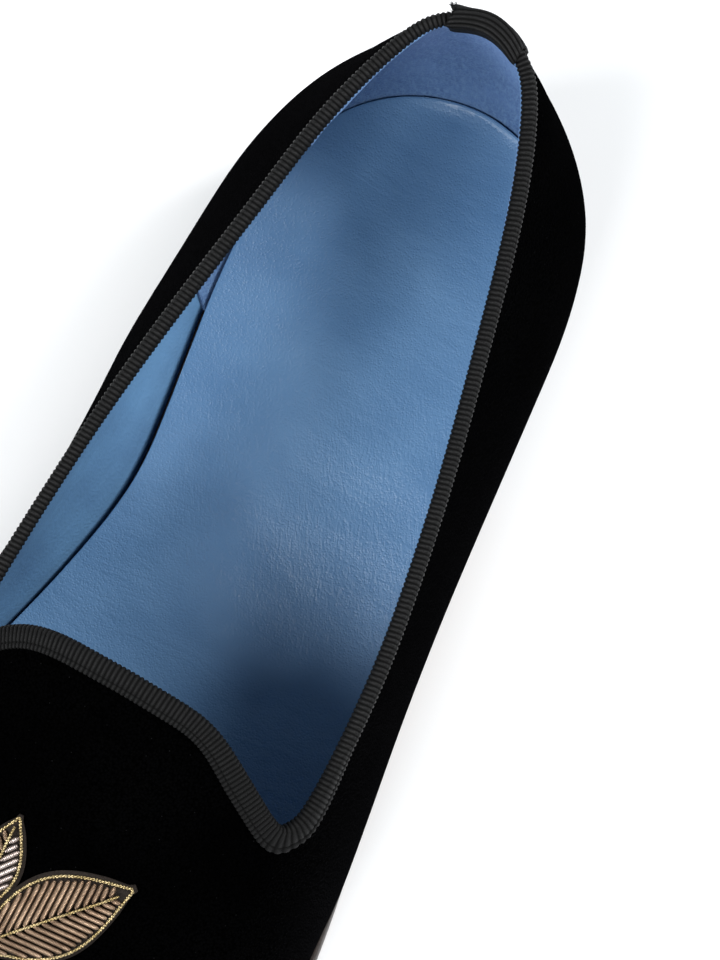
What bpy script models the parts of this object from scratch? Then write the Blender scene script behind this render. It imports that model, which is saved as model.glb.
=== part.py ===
"""Velvet slipper loafer, left shoe, standing empty on its sole.

The toe points along -Y, the heel along +Y, the outer (little toe) side along +X. Lengths along the shoe
are measured from the back of the heel, heights from the floor. Every surface of the upper comes from one set
of ribs: each rib is an arc that stands on the feather line, where upper and sole meet, and ends on the
topline or, in front of the tongue, on the ridge of the vamp.
"""
import math
from collections import namedtuple

import bmesh
import bpy
from mathutils import Vector

# Last
LAST_LENGTH = 0.289
HEEL_WIDTH = 0.0664
WAIST_WIDTH = 0.0673
BALL_WIDTH = 0.0979
SEAT_HEIGHT = 0.0200
TOE_SPRING = 0.0102

# Topline
COLLAR_LENGTH = 0.1589
COLLAR_WIDTH = 0.0763
BACK_HEIGHT = 0.0745
DIP_HEIGHT = 0.0560
TONGUE_HEIGHT = 0.0823
TOE_BOX_HEIGHT = 0.0397

# Materials and clearances
WALL = 0.0015
SOLE_THICKNESS = 0.0048
SOLE_EXTENSION = 0.0011
SOLE_EDGE_ROUND = 0.0008
INSOLE_THICKNESS = 0.0026
INSOLE_CUP = 0.0012
HEEL_LENGTH = 0.066
HEEL_TAPER = 0.0012
TOP_PIECE_THICKNESS = 0.0050
TAPE_THICKNESS = 0.0007
BINDING_LEG = 0.0056
STRIP_WIDTH = 0.016
STRIP_THICKNESS = 0.0008
STRIP_INNER_LEG = 0.0046
GAP = 0.0003
BINDING_GAP = 0.0004
RAY_REACH = 0.003

# Embroidered sprig
SPRIG_START = 0.258
SPRIG_LENGTH = 0.064
LEAF_LENGTH = 0.029
LEAF_WIDTH = 0.0125
LEAF_PAD = 0.0017
LEAF_EDGE = 0.0008
STEM_WIDTH = 0.0024
STEM_PAD = 0.0006
LEAF_CLEARANCE = 0.0008
LEAF_TAPER = 1.1
LEAF_TIP = 0.05

# Mesh fineness
QUARTER_STEPS = 3
VAMP_STEPS = 2
PLATE_STEPS = 3
WALL_STEPS = 8
THROAT_STEPS = 8
FLAT_STEPS = 2
CUPPED_STEPS = 4
STRIP_LINES = 7
LEAF_ROWS = 7
LEAF_COLUMNS = 4
STEM_ROWS = 14
# Rib rows over which a plate's rim runs out at heel and toe.
END_ROWS = 2

# Feather line, a row for each rib. along: share of LAST_LENGTH.
# inner, outer: half widths as shares of the width.
Foot = namedtuple("Foot", "along width inner outer")
FEATHER = [
    Foot(0.000, HEEL_WIDTH, 0.000, 0.000),
    Foot(0.016, HEEL_WIDTH, 0.250, 0.256),
    Foot(0.057, HEEL_WIDTH, 0.424, 0.432),
    Foot(0.118, HEEL_WIDTH, 0.495, 0.505),
    Foot(0.194, HEEL_WIDTH, 0.491, 0.537),
    Foot(0.277, WAIST_WIDTH, 0.440, 0.556),
    Foot(0.349, WAIST_WIDTH, 0.415, 0.585),
    Foot(0.422, WAIST_WIDTH, 0.475, 0.624),
    Foot(0.495, WAIST_WIDTH, 0.565, 0.678),
    Foot(0.547, BALL_WIDTH, 0.427, 0.492),
    Foot(0.585, BALL_WIDTH, 0.446, 0.507),
    Foot(0.612, BALL_WIDTH, 0.458, 0.514),
    Foot(0.640, BALL_WIDTH, 0.467, 0.520),
    Foot(0.668, BALL_WIDTH, 0.474, 0.522),
    Foot(0.699, BALL_WIDTH, 0.478, 0.522),
    Foot(0.737, BALL_WIDTH, 0.473, 0.513),
    Foot(0.782, BALL_WIDTH, 0.456, 0.482),
    Foot(0.834, BALL_WIDTH, 0.422, 0.429),
    Foot(0.886, BALL_WIDTH, 0.368, 0.351),
    Foot(0.931, BALL_WIDTH, 0.294, 0.261),
    Foot(0.969, BALL_WIDTH, 0.200, 0.174),
    Foot(0.993, BALL_WIDTH, 0.104, 0.084),
    Foot(1.000, BALL_WIDTH, 0.009, -0.009),
]

# Topline of the quarters, a row for each rib from the back seam to the last one before the dip.
# along: share of COLLAR_LENGTH. inner and outer: half widths as shares of COLLAR_WIDTH.
# inner_rise and outer_rise: shares of the rise from dip to back.
Top = namedtuple("Top", "along inner outer inner_rise outer_rise")
TOPLINE = [
    Top(0.000, 0.008, -0.008, 1.000, 1.000),
    Top(0.026, 0.134, 0.118, 0.978, 0.968),
    Top(0.087, 0.202, 0.193, 0.919, 0.897),
    Top(0.206, 0.275, 0.283, 0.805, 0.768),
    Top(0.349, 0.323, 0.362, 0.681, 0.627),
    Top(0.500, 0.373, 0.436, 0.573, 0.497),
    Top(0.633, 0.410, 0.489, 0.486, 0.389),
    Top(0.760, 0.434, 0.526, 0.389, 0.281),
    Top(0.887, 0.449, 0.539, 0.265, 0.157),
    Top(0.961, 0.456, 0.530, 0.157, 0.054),
]

# Ridge of the vamp. along: share of LAST_LENGTH. rise: share of the fall from tongue to toe box.
# side: share of BALL_WIDTH, towards the outer side.
Ridge = namedtuple("Ridge", "along rise side")
RIDGE = [
    Ridge(0.512, 1.000, -0.051),
    Ridge(0.554, 0.862, -0.057),
    Ridge(0.606, 0.688, -0.061),
    Ridge(0.657, 0.516, -0.058),
    Ridge(0.709, 0.366, -0.053),
    Ridge(0.768, 0.232, -0.043),
    Ridge(0.830, 0.110, -0.034),
    Ridge(0.889, 0.000, -0.027),
]
# Where the vamp's ribs end on the ridge, as shares of LAST_LENGTH, from the tongue tip to the toe.
RIDGE_ENDS = [0.512, 0.533, 0.557, 0.585, 0.616, 0.654, 0.699, 0.751, 0.799, 0.837, 0.865, 0.884, 0.889]

# Height of the outsole's upper face. heel and toe: shares of the seat's rise and of TOE_SPRING.
Level = namedtuple("Level", "along heel toe")
LEVELS = [
    Level(0.000, 1.000, 0.000),
    Level(0.070, 0.980, 0.000),
    Level(0.200, 0.945, 0.000),
    Level(0.277, 0.842, 0.000),
    Level(0.346, 0.645, 0.000),
    Level(0.415, 0.395, 0.000),
    Level(0.484, 0.184, 0.000),
    Level(0.554, 0.046, 0.000),
    Level(0.600, 0.000, 0.000),
    Level(0.770, 0.000, 0.000),
    Level(0.865, 0.000, 0.330),
    Level(0.934, 0.000, 0.640),
    Level(1.000, 0.000, 1.000),
]

# Shape of the quarters' ribs. inner_out, outer_out and up: first handle, beside the feather line.
# reach: how far the last handle goes from the rib's end towards its foot. inner_lean, outer_lean and down: the
# rest of the last handle. Sideways they are shares of BALL_WIDTH, upright of BACK_HEIGHT.
Bend = namedtuple("Bend", "inner_out outer_out up reach inner_lean outer_lean down")
QUARTER_BENDS = [
    Bend(0.061, 0.061, 0.228, 0.00, 0.046, 0.046, 0.295),
    Bend(0.064, 0.062, 0.228, 0.30, 0.036, 0.036, 0.295),
    Bend(0.088, 0.070, 0.228, 0.45, 0.032, 0.020, 0.280),
    Bend(0.109, 0.087, 0.215, 0.50, 0.042, 0.020, 0.295),
    Bend(0.130, 0.087, 0.201, 0.50, 0.056, 0.020, 0.280),
    Bend(0.147, 0.082, 0.201, 0.50, 0.098, 0.026, 0.268),
    Bend(0.124, 0.072, 0.215, 0.50, 0.090, 0.031, 0.250),
    Bend(0.080, 0.066, 0.242, 0.50, 0.046, 0.036, 0.235),
    Bend(0.071, 0.060, 0.255, 0.45, 0.041, 0.041, 0.228),
    Bend(0.056, 0.054, 0.262, 0.42, 0.036, 0.040, 0.200),
]
# Shape of the vamp's ribs, from the one through the dip to the toe. bow: how far the last handle is drawn
# towards the heel, as a share of BALL_WIDTH.
Arch = namedtuple("Arch", "out up reach bow")
VAMP_ARCHES = [
    Arch(0.051, 0.485, 0.66, 0.165),
    Arch(0.050, 0.455, 0.64, 0.115),
    Arch(0.049, 0.425, 0.61, 0.070),
    Arch(0.048, 0.395, 0.58, 0.036),
    Arch(0.047, 0.360, 0.56, 0.014),
    Arch(0.044, 0.320, 0.54, 0.000),
    Arch(0.041, 0.280, 0.54, 0.000),
    Arch(0.037, 0.250, 0.55, 0.000),
    Arch(0.033, 0.225, 0.56, 0.000),
    Arch(0.029, 0.205, 0.58, 0.000),
    Arch(0.025, 0.195, 0.60, 0.000),
    Arch(0.022, 0.190, 0.60, 0.000),
    Arch(0.022, 0.190, 0.60, 0.000),
]
# Where on its rib the dip lies: below it the rib joins vamp and quarter, above it the rib is the throat's edge.
DIP_SHARE = 0.5

DIP_ROW = len(TOPLINE)
TOE_ROW = len(FEATHER) - 1
LOOP = 2 * TOE_ROW
VAMP_ROWS = 2 * (TOE_ROW - DIP_ROW)

# Leaves of the sprig. along: share of SPRIG_LENGTH from its foot. side: -1 inner, 0 end leaf, 1 outer.
# turn: degrees away from the stem. size: share of LEAF_LENGTH and LEAF_WIDTH.
Leaf = namedtuple("Leaf", "along side turn size")
LEAVES = [
    Leaf(0.06, -1, 60, 0.72),
    Leaf(0.06, 1, 60, 0.72),
    Leaf(0.42, -1, 54, 0.92),
    Leaf(0.42, 1, 54, 0.92),
    Leaf(0.86, -1, 44, 1.10),
    Leaf(0.86, 1, 44, 1.10),
    Leaf(0.94, 0, 0, 0.66),
]


def smooth(points, place):
    """Catmull-Rom value through equally spaced numbers or vectors, with the end values repeated."""
    last = len(points) - 1
    i = max(0, min(int(math.floor(place)), last - 1))
    f = place - i
    a, b, c, d = (points[max(0, min(i + k, last))] for k in (-1, 0, 1, 2))
    return 0.5 * (2 * b + (c - a) * f + (2 * a - 5 * b + 4 * c - d) * f * f + (3 * b - a - 3 * c + d) * f ** 3)


def around(points, place):
    """Catmull-Rom value on a closed ring of equally spaced vectors."""
    count = len(points)
    i = int(math.floor(place))
    f = place - i
    a, b, c, d = (points[(i + k) % count] for k in (-1, 0, 1, 2))
    return 0.5 * (2 * b + (c - a) * f + (2 * a - 5 * b + 4 * c - d) * f * f + (3 * b - a - 3 * c + d) * f ** 3)


def steady(stations, values, place):
    """Monotone cubic through values at stations, level where neighbouring values are equal."""
    gaps = [stations[i + 1] - stations[i] for i in range(len(stations) - 1)]
    rates = [(values[i + 1] - values[i]) / gaps[i] for i in range(len(gaps))]
    slopes = [rates[0]]
    for i in range(1, len(rates)):
        same = rates[i - 1] * rates[i] > 0
        slopes.append(2 / (1 / rates[i - 1] + 1 / rates[i]) if same else 0.0)
    slopes.append(rates[-1])
    place = max(stations[0], min(place, stations[-1]))
    i = 0
    while i < len(gaps) - 1 and place > stations[i + 1]:
        i += 1
    q = (place - stations[i]) / gaps[i]
    start = (1 + 2 * q) * (1 - q) ** 2 * values[i] + q * (1 - q) ** 2 * gaps[i] * slopes[i]
    end = q * q * (3 - 2 * q) * values[i + 1] + q * q * (q - 1) * gaps[i] * slopes[i + 1]
    return start + end


def seat_level(along):
    """Height of the outsole's upper face at a distance from the back of the heel."""
    stations = [level.along * LAST_LENGTH for level in LEVELS]
    heel = steady(stations, [level.heel for level in LEVELS], along)
    toe = steady(stations, [level.toe for level in LEVELS], along)
    return SOLE_THICKNESS + heel * (SEAT_HEIGHT - SOLE_THICKNESS) + toe * TOE_SPRING


def ridge_point(along):
    stations = [row.along * LAST_LENGTH for row in RIDGE]
    rise = steady(stations, [row.rise for row in RIDGE], along)
    side = steady(stations, [row.side for row in RIDGE], along)
    return Vector((side * BALL_WIDTH, -along, TOE_BOX_HEIGHT + rise * (TONGUE_HEIGHT - TOE_BOX_HEIGHT)))


def ridge_slope(along):
    step = 0.001
    low = min(along, RIDGE[-1].along * LAST_LENGTH - step)
    return (ridge_point(low + step).z - ridge_point(low).z) / step


def foot_vector(row, side):
    half = row.outer if side > 0 else -row.inner
    return Vector((half * row.width, -row.along * LAST_LENGTH, 0))


FEET = [foot_vector(row, 1) for row in FEATHER] + [foot_vector(row, -1) for row in FEATHER[-2:0:-1]]


def foot(rib):
    """Point of the feather line. Ribs are numbered from the back seam by the outer side to the toe and back."""
    point = around(FEET, rib)
    point.z = seat_level(-point.y) + GAP
    return point


def outward(rib):
    """Level unit vector pointing out of the feather line."""
    step = 0.01
    run = around(FEET, rib + step) - around(FEET, rib - step)
    return Vector((-run.y, run.x, 0)).normalized()


def quarter_handles(row, side):
    """The four control points of a quarter's rib, from feather line to topline."""
    place, shape = TOPLINE[row], QUARTER_BENDS[row]
    rib = row * side
    half, rise = (place.outer, place.outer_rise) if side > 0 else (-place.inner, place.inner_rise)
    top = DIP_HEIGHT + rise * (BACK_HEIGHT - DIP_HEIGHT)
    end = Vector((half * COLLAR_WIDTH, -place.along * COLLAR_LENGTH, top))
    start = foot(rib)
    out, lean = (shape.outer_out, shape.outer_lean) if side > 0 else (shape.inner_out, shape.inner_lean)
    first = start + outward(rib) * (out * BALL_WIDTH) + Vector((0, 0, shape.up * BACK_HEIGHT))
    level = Vector((start.x - end.x, start.y - end.y, 0))
    last = end + level * shape.reach + outward(rib) * (lean * BALL_WIDTH)
    last.z -= shape.down * BACK_HEIGHT
    return [start, first, last, end]


def vamp_handles(row, side):
    """The four control points of a vamp's rib, from feather line to ridge."""
    shape = VAMP_ARCHES[row - DIP_ROW]
    rib = row * side
    along = RIDGE_ENDS[row - DIP_ROW] * LAST_LENGTH
    end = ridge_point(along)
    start = foot(rib)
    first = start + outward(rib) * (shape.out * BALL_WIDTH) + Vector((0, 0, shape.up * BACK_HEIGHT))
    last = end.lerp(start, shape.reach) + Vector((0, shape.bow * BALL_WIDTH, 0))
    last.z = end.z - ridge_slope(along) * (last.y - end.y)
    return [start, first, last, end]


def lower_part(handles, share):
    """Control points of the part of an arc below a share of it."""
    a, b, c, d = handles
    ab, bc, cd = a.lerp(b, share), b.lerp(c, share), c.lerp(d, share)
    abc, bcd = ab.lerp(bc, share), bc.lerp(cd, share)
    return [a, ab, abc, abc.lerp(bcd, share)]


def beyond(near, next_one):
    """Handles one row further out, in line with two rows."""
    return [2 * p - q for p, q in zip(near, next_one)]


def vamp_chain():
    """Handles round the vamp from the outer dip by the toe to the inner dip, with a row more at each end."""
    outer = [vamp_handles(row, 1) for row in range(DIP_ROW, TOE_ROW + 1)]
    inner = [vamp_handles(row, -1) for row in range(TOE_ROW - 1, DIP_ROW - 1, -1)]
    chain = outer + inner
    return [beyond(chain[0], chain[1])] + chain + [beyond(chain[-1], chain[-2])]


def quarter_chain():
    """Handles round the quarters from the inner dip by the back seam to the outer dip, and a row more each way."""
    chain = []
    for side in (-1, 1):
        rows = [quarter_handles(row, side) for row in range(1, DIP_ROW)]
        rows += [lower_part(vamp_handles(row, side), DIP_SHARE) for row in (DIP_ROW, DIP_ROW + 1)]
        chain = rows[::-1] + [quarter_handles(0, 1)] if side < 0 else chain + rows
    return chain


VAMP = vamp_chain()
QUARTERS = quarter_chain()


def arc_point(handles, height):
    """Point of an arc, with its foot set on the outsole's upper face."""
    start, first, last, end = handles
    foot_lift = seat_level(-start.y) + GAP - start.z
    h, k = height, 1 - height
    point = start * k ** 3 + first * 3 * k * k * h + last * 3 * k * h * h + end * h ** 3
    point.z += foot_lift * k ** 3
    return point


def chain_handles(chain, place):
    """Handles at a place along a chain whose second row is place 0."""
    return [smooth([row[k] for row in chain], place + 1) for k in range(4)]


def quarter(place, height):
    """Outer face of the quarters. place: -DIP_ROW at the inner dip, 0 at the back, DIP_ROW at the outer dip."""
    return arc_point(chain_handles(QUARTERS, place + DIP_ROW), height)


def vamp(place, height):
    """Outer face of the vamp. place: 0 at the outer dip, VAMP_ROWS at the inner dip, half of that at the toe."""
    return arc_point(chain_handles(VAMP, place), height)


def normal_of(face, place, height):
    """Outward unit normal of the quarters or of the vamp."""
    step = 0.01
    low, high = (0.0, VAMP_ROWS) if face is vamp else (-DIP_ROW, DIP_ROW)
    if face is vamp and height > 1 - step:
        along = -vamp(place, 1).y
        return Vector((0, ridge_slope(along), 1)).normalized()
    run = face(min(place + step, high), height) - face(max(place - step, low), height)
    rise = face(place, min(height + step, 1)) - face(place, max(height - step, 0))
    return rise.cross(run).normalized()


def collection_for(name):
    collection = bpy.data.collections.new(name)
    bpy.context.scene.collection.children.link(collection)
    return collection


def finish(name, mesh, colour, roughness):
    """Put a finished mesh in the shoe's collection with its own material."""
    material = bpy.data.materials.new(name)
    material.use_nodes = True
    shader = material.node_tree.nodes["Principled BSDF"]
    shader.inputs["Base Color"].default_value = (*colour, 1)
    shader.inputs["Roughness"].default_value = roughness
    mesh.materials.append(material)
    mesh.shade_smooth()
    mesh.set_sharp_from_angle(angle=math.radians(50))
    piece = bpy.data.objects.new(name, mesh)
    bpy.data.collections[SHOE].objects.link(piece)
    return piece


def closed_mesh(name, points, faces):
    """Mesh from lofted faces, with doubled points merged and faces turned outwards."""
    mesh = bpy.data.meshes.new(name)
    mesh.from_pydata(points, [], faces)
    work = bmesh.new()
    work.from_mesh(mesh)
    bmesh.ops.remove_doubles(work, verts=work.verts, dist=1e-6)
    bmesh.ops.dissolve_degenerate(work, dist=1e-7, edges=work.edges)
    bmesh.ops.recalc_face_normals(work, faces=work.faces)
    work.to_mesh(mesh)
    work.free()
    return mesh


def height_at_depth(place, depth):
    """Height share on a quarter's rib that lies a distance down the wall from the topline."""
    end = quarter(place, 1)
    low, high = 0.0, 1.0
    for _ in range(30):
        middle = (low + high) / 2
        if (quarter(place, middle) - end).length > depth:
            low = middle
        else:
            high = middle
    return low


def quarter_heights(place):
    """Heights of the mesh rows on a quarter's rib: even up to the binding's edge, half way, and the topline."""
    low = height_at_depth(place, BINDING_LEG)
    even = WALL_STEPS - 2
    return [low * k / even for k in range(even + 1)] + [height_at_depth(place, BINDING_LEG / 2), 1.0]


def vamp_heights(place):
    """Heights of the mesh rows on a vamp's rib: the quarter's rows up to the dip, then even to the ridge."""
    share = place / VAMP_ROWS
    outer, inner = quarter_heights(DIP_ROW), quarter_heights(-DIP_ROW)
    lower = [DIP_SHARE * (a + (b - a) * share) for a, b in zip(outer, inner)]
    return lower + [DIP_SHARE + (1 - DIP_SHARE) * (k + 1) / THROAT_STEPS for k in range(THROAT_STEPS)]


def wall_columns():
    """Columns of the upper's mesh: for each one its (outer point, inner point) pairs from feather line up."""
    quarters, front = [], []
    for step in range(-DIP_ROW * QUARTER_STEPS, DIP_ROW * QUARTER_STEPS + 1):
        place = step / QUARTER_STEPS
        column = []
        for h in quarter_heights(place):
            if abs(place) == DIP_ROW:
                normal = normal_of(vamp, 0 if place > 0 else VAMP_ROWS, h * DIP_SHARE)
            else:
                normal = normal_of(quarter, place, h)
            point = quarter(place, h)
            column.append((point, point - normal * WALL))
        quarters.append(column)
    for step in range(VAMP_ROWS * VAMP_STEPS + 1):
        place = step / VAMP_STEPS
        column = []
        for h in vamp_heights(place):
            point = vamp(place, h)
            column.append((point, point - normal_of(vamp, place, h) * WALL))
        front.append(column)
    return quarters, front


def build_upper():
    """Hollow velvet shell: outer face, inner face one wall inside it, and the rims at feather line and collar."""
    points, faces = [], []
    for columns, part in zip(wall_columns(), ("quarters", "front")):
        start = len(points)
        levels = len(columns[0])
        points += [point for column in columns for pair in column for point in pair]

        def at(column, level, shell):
            return start + (column * levels + level) * 2 + shell

        for c in range(len(columns) - 1):
            for k in range(levels - 1):
                for shell in (0, 1):
                    low, high = [at(c, k, shell), at(c + 1, k, shell)], [at(c + 1, k + 1, shell), at(c, k + 1, shell)]
                    faces.append(low + high)
            for k in (0, levels - 1) if part == "quarters" else (0,):
                faces.append([at(c, k, 0), at(c + 1, k, 0), at(c + 1, k, 1), at(c, k, 1)])
        if part == "front":
            for c in (0, len(columns) - 1):
                for k in range(WALL_STEPS, levels - 1):
                    faces.append([at(c, k, 0), at(c, k + 1, 0), at(c, k + 1, 1), at(c, k, 1)])
    return finish("upper", closed_mesh("upper", points, faces), (0.004, 0.004, 0.005), 0.9)


def plate(name, outline, levels, last_row, across):
    """Solid between outlines.

    outline(rib, inset): a point of the edge. levels: (inset, height function) from the lower face to the upper one.
    last_row: the rib row where the plate ends, the toe row or the heel's breast. across: faces side by side.
    """
    steps = int(round(last_row * PLATE_STEPS))
    rows = [step * last_row / steps for step in range(steps + 1)]
    closed = last_row >= TOE_ROW
    points = []
    faces = []

    def add(point):
        points.append(point)
        return len(points) - 1

    def cross(row, inset, height):
        """Points from the inner edge to the outer edge at one row."""
        outer = outline(row, inset)
        inner = outline(-row, inset)
        end = max(0, 1 - min(row, TOE_ROW - row) / END_ROWS)
        line = []
        for k in range(across + 1):
            share = k / across
            point = inner.lerp(outer, share)
            point.z = height(-point.y, max(end, abs(2 * share - 1)))
            line.append(point)
        return line

    rings = [[[add(p) for p in cross(row, inset, height)] for row in rows] for inset, height in levels]
    for grid in (rings[0], rings[-1]):
        for r in range(steps):
            for k in range(across):
                faces.append([grid[r][k], grid[r][k + 1], grid[r + 1][k + 1], grid[r + 1][k]])
    for low, high in zip(rings, rings[1:]):
        for r in range(steps):
            for k in (0, across):
                faces.append([low[r][k], low[r + 1][k], high[r + 1][k], high[r][k]])
        if not closed:
            for k in range(across):
                faces.append([low[-1][k], low[-1][k + 1], high[-1][k + 1], high[-1][k]])
    return closed_mesh(name, points, faces)


def feather_outline(grow):
    """Outline function of the feather line, grown by a distance."""
    def outline(rib, inset):
        return around(FEET, rib % LOOP) + outward(rib) * (grow - inset)
    return outline


def flat_at(height):
    return lambda along, edge: height


def sole_under(along, edge=0):
    return seat_level(along) - SOLE_THICKNESS


def build_outsole():
    levels = [
        (SOLE_EDGE_ROUND, sole_under),
        (0, lambda along, edge: sole_under(along) + SOLE_EDGE_ROUND),
        (0, lambda along, edge: seat_level(along) - SOLE_EDGE_ROUND),
        (SOLE_EDGE_ROUND / 2, lambda along, edge: seat_level(along)),
    ]
    mesh = plate("outsole", feather_outline(SOLE_EXTENSION), levels, TOE_ROW, FLAT_STEPS)
    return finish("outsole", mesh, (0.09, 0.055, 0.03), 0.55)


def build_insole():
    """Sock on its board: its edge stands one wall and a gap inside the feather line, and it is a little cupped."""
    def upper_face(along, edge):
        return seat_level(along) + GAP + INSOLE_THICKNESS + INSOLE_CUP * edge ** 4
    levels = [
        (0, lambda along, edge: seat_level(along) + GAP),
        (0, upper_face),
    ]
    mesh = plate("insole", feather_outline(-(WALL + 2 * GAP)), levels, TOE_ROW, CUPPED_STEPS)
    return finish("insole", mesh, (0.10, 0.19, 0.33), 0.45)


def breast_row():
    """Rib row where the heel's front face stands."""
    low, high = 0.0, float(TOE_ROW)
    for _ in range(40):
        middle = (low + high) / 2
        if -around(FEET, middle).y < HEEL_LENGTH:
            low = middle
        else:
            high = middle
    return low


def build_heel():
    """Stacked leather block under the outsole's seat, and the rubber top piece under it."""
    row = breast_row()
    outline = feather_outline(SOLE_EXTENSION)
    block_levels = [
        (HEEL_TAPER, flat_at(TOP_PIECE_THICKNESS + GAP)),
        (HEEL_TAPER / 2, lambda along, edge: (TOP_PIECE_THICKNESS + sole_under(along)) / 2),
        (0, lambda along, edge: sole_under(along) - GAP),
    ]
    block = plate("heel_block", outline, block_levels, row, FLAT_STEPS)
    finish("heel_block", block, (0.07, 0.04, 0.02), 0.5)
    top_levels = [
        (HEEL_TAPER + SOLE_EDGE_ROUND / 2, flat_at(0)),
        (HEEL_TAPER, flat_at(SOLE_EDGE_ROUND / 2)),
        (HEEL_TAPER, flat_at(TOP_PIECE_THICKNESS)),
    ]
    top_piece = plate("heel_top_piece", outline, top_levels, row, FLAT_STEPS)
    finish("heel_top_piece", top_piece, (0.02, 0.02, 0.02), 0.7)


def collar_edge():
    """The collar's edge as a ring of (point, outward normal): inner dip, back seam, outer dip, tongue tip."""
    ring = []
    for step in range(-DIP_ROW * QUARTER_STEPS, DIP_ROW * QUARTER_STEPS + 1):
        place = step / QUARTER_STEPS
        ring.append((quarter(place, 1), normal_of(quarter, place, 1)))
    heights = [DIP_SHARE + (1 - DIP_SHARE) * k / THROAT_STEPS for k in range(1, THROAT_STEPS + 1)]
    ring += [(vamp(0, h), normal_of(vamp, 0, h)) for h in heights]
    ring += [(vamp(VAMP_ROWS, h), normal_of(vamp, VAMP_ROWS, h)) for h in heights[-2::-1]]
    return ring


def beside_wall(upper, point, normal, face):
    """Nearest point of the upper to a place beside its wall. face: 1 for the outer face, -1 for the inner one."""
    reach = RAY_REACH if face > 0 else RAY_REACH + WALL
    hit, place, _, _ = upper.ray_cast(point + normal * (face * reach), normal * -face)
    return place if hit else point - normal * (0 if face > 0 else WALL)


def binding_section(upper, point, normal, before, after):
    """Section of the folded ribbon round the wall's edge, a closed ring of points, mitred where the edge turns."""
    runs = before.normalized() + after.normalized()
    up = runs.cross(normal).normalized() * (2 / max(runs.length, 1))
    near = BINDING_GAP
    far = near + TAPE_THICKNESS
    outside, inside, outer_lining, inner_lining = [], [], [], []
    for depth in (BINDING_LEG, BINDING_LEG / 2):
        below = point - up.normalized() * depth
        place = beside_wall(upper, below, normal, 1)
        outside.append(place + normal * far)
        outer_lining.append(place + normal * near)
        place = beside_wall(upper, below, normal, -1)
        inside.append(place - normal * far)
        inner_lining.append(place - normal * near)
    crown = [
        point + normal * far,
        point + normal * (near + TAPE_THICKNESS * 0.55) + up * (near + TAPE_THICKNESS * 0.75),
        point - normal * (WALL / 2) + up * far,
        point - normal * (WALL + near + TAPE_THICKNESS * 0.55) + up * (near + TAPE_THICKNESS * 0.75),
        point - normal * (WALL + far),
    ]
    fold = [
        point - normal * (WALL + near) + up * near,
        point + normal * near + up * near,
    ]
    return outside + crown + inside[::-1] + inner_lining + fold + outer_lining[::-1]


def build_binding(upper):
    """Ribbed ribbon folded over the topline, round the collar and across the tongue."""
    edge = collar_edge()
    sections = []
    for k, (point, normal) in enumerate(edge):
        before, after = point - edge[k - 1][0], edge[(k + 1) % len(edge)][0] - point
        sections.append(binding_section(upper, point, normal, before, after))
    size = len(sections[0])
    points = [point for section in sections for point in section]
    faces = []
    for c in range(len(sections)):
        d = (c + 1) % len(sections)
        for k in range(size):
            m = (k + 1) % size
            faces.append([c * size + k, d * size + k, d * size + m, c * size + m])
    mesh = closed_mesh("topline_binding", points, faces)
    return finish("topline_binding", mesh, (0.012, 0.012, 0.013), 0.7)


def rib_at_side(height, side):
    """Quarter's rib near the back seam whose point at this height lies at this x."""
    low, high = -3.0, 3.0
    for _ in range(40):
        middle = (low + high) / 2
        if quarter(middle, height).x < side:
            low = middle
        else:
            high = middle
    return low


def strip_path(side):
    """Lengthwise line of the back strip, as (face on the shoe, face outside), from inside, over, to the sole."""
    centre = quarter(0, 1).x
    rib = rib_at_side(1, centre + side)
    point, normal = quarter(rib, 1), normal_of(quarter, rib, 1)
    step = 0.02
    up = (quarter(rib + step, 1) - quarter(rib - step, 1)).cross(normal).normalized()
    under = BINDING_GAP + GAP + TAPE_THICKNESS
    over = under + STRIP_THICKNESS
    path = []
    for depth in (STRIP_INNER_LEG, STRIP_INNER_LEG / 2):
        h = height_at_depth(rib, depth)
        place, lean = quarter(rib, h), normal_of(quarter, rib, h)
        path.append((place - lean * (WALL + under), place - lean * (WALL + over)))
    middle = point - normal * (WALL / 2)
    round_off = STRIP_THICKNESS * 0.4
    for across, rise in ((-1, 0), (-1, 1), (1, 1), (1, 0)):
        near = middle + normal * (across * (WALL / 2 + under)) + up * (rise * under)
        out = WALL / 2 + over - rise * round_off
        far = middle + normal * (across * out) + up * (rise * (over - round_off))
        path.append((near, far))
    heights = [height_at_depth(rib, BINDING_LEG * share) for share in (0.5, 1.1, 1.5)]
    heights += [heights[-1] * share for share in (0.85, 0.70, 0.55, 0.40, 0.25, 0.12, 0.03)]
    for k, h in enumerate(heights):
        place_rib = rib_at_side(h, centre + side)
        place, lean = quarter(place_rib, h), normal_of(quarter, place_rib, h)
        base = under if k < 2 else GAP
        path.append((place + lean * base, place + lean * (base + STRIP_THICKNESS)))
    return path


def build_strip():
    """Ribbed ribbon down the back seam, folded over the binding at the top of the heel."""
    paths = [strip_path(STRIP_WIDTH * (k / (STRIP_LINES - 1) - 0.5)) for k in range(STRIP_LINES)]
    length = len(paths[0])
    points = [p for path in paths for pair in path for p in pair]

    def at(line, step, face):
        return (line * length + step) * 2 + face

    faces = []
    for line in range(STRIP_LINES - 1):
        for step in range(length - 1):
            for face in (0, 1):
                faces.append([at(line, step, face), at(line + 1, step, face),
                              at(line + 1, step + 1, face), at(line, step + 1, face)])
        for step in (0, length - 1):
            faces.append([at(line, step, 0), at(line + 1, step, 0), at(line + 1, step, 1), at(line, step, 1)])
    for line in (0, STRIP_LINES - 1):
        for step in range(length - 1):
            faces.append([at(line, step, 0), at(line, step + 1, 0), at(line, step + 1, 1), at(line, step, 1)])
    mesh = closed_mesh("heel_strip", points, faces)
    return finish("heel_strip", mesh, (0.012, 0.012, 0.013), 0.7)


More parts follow.
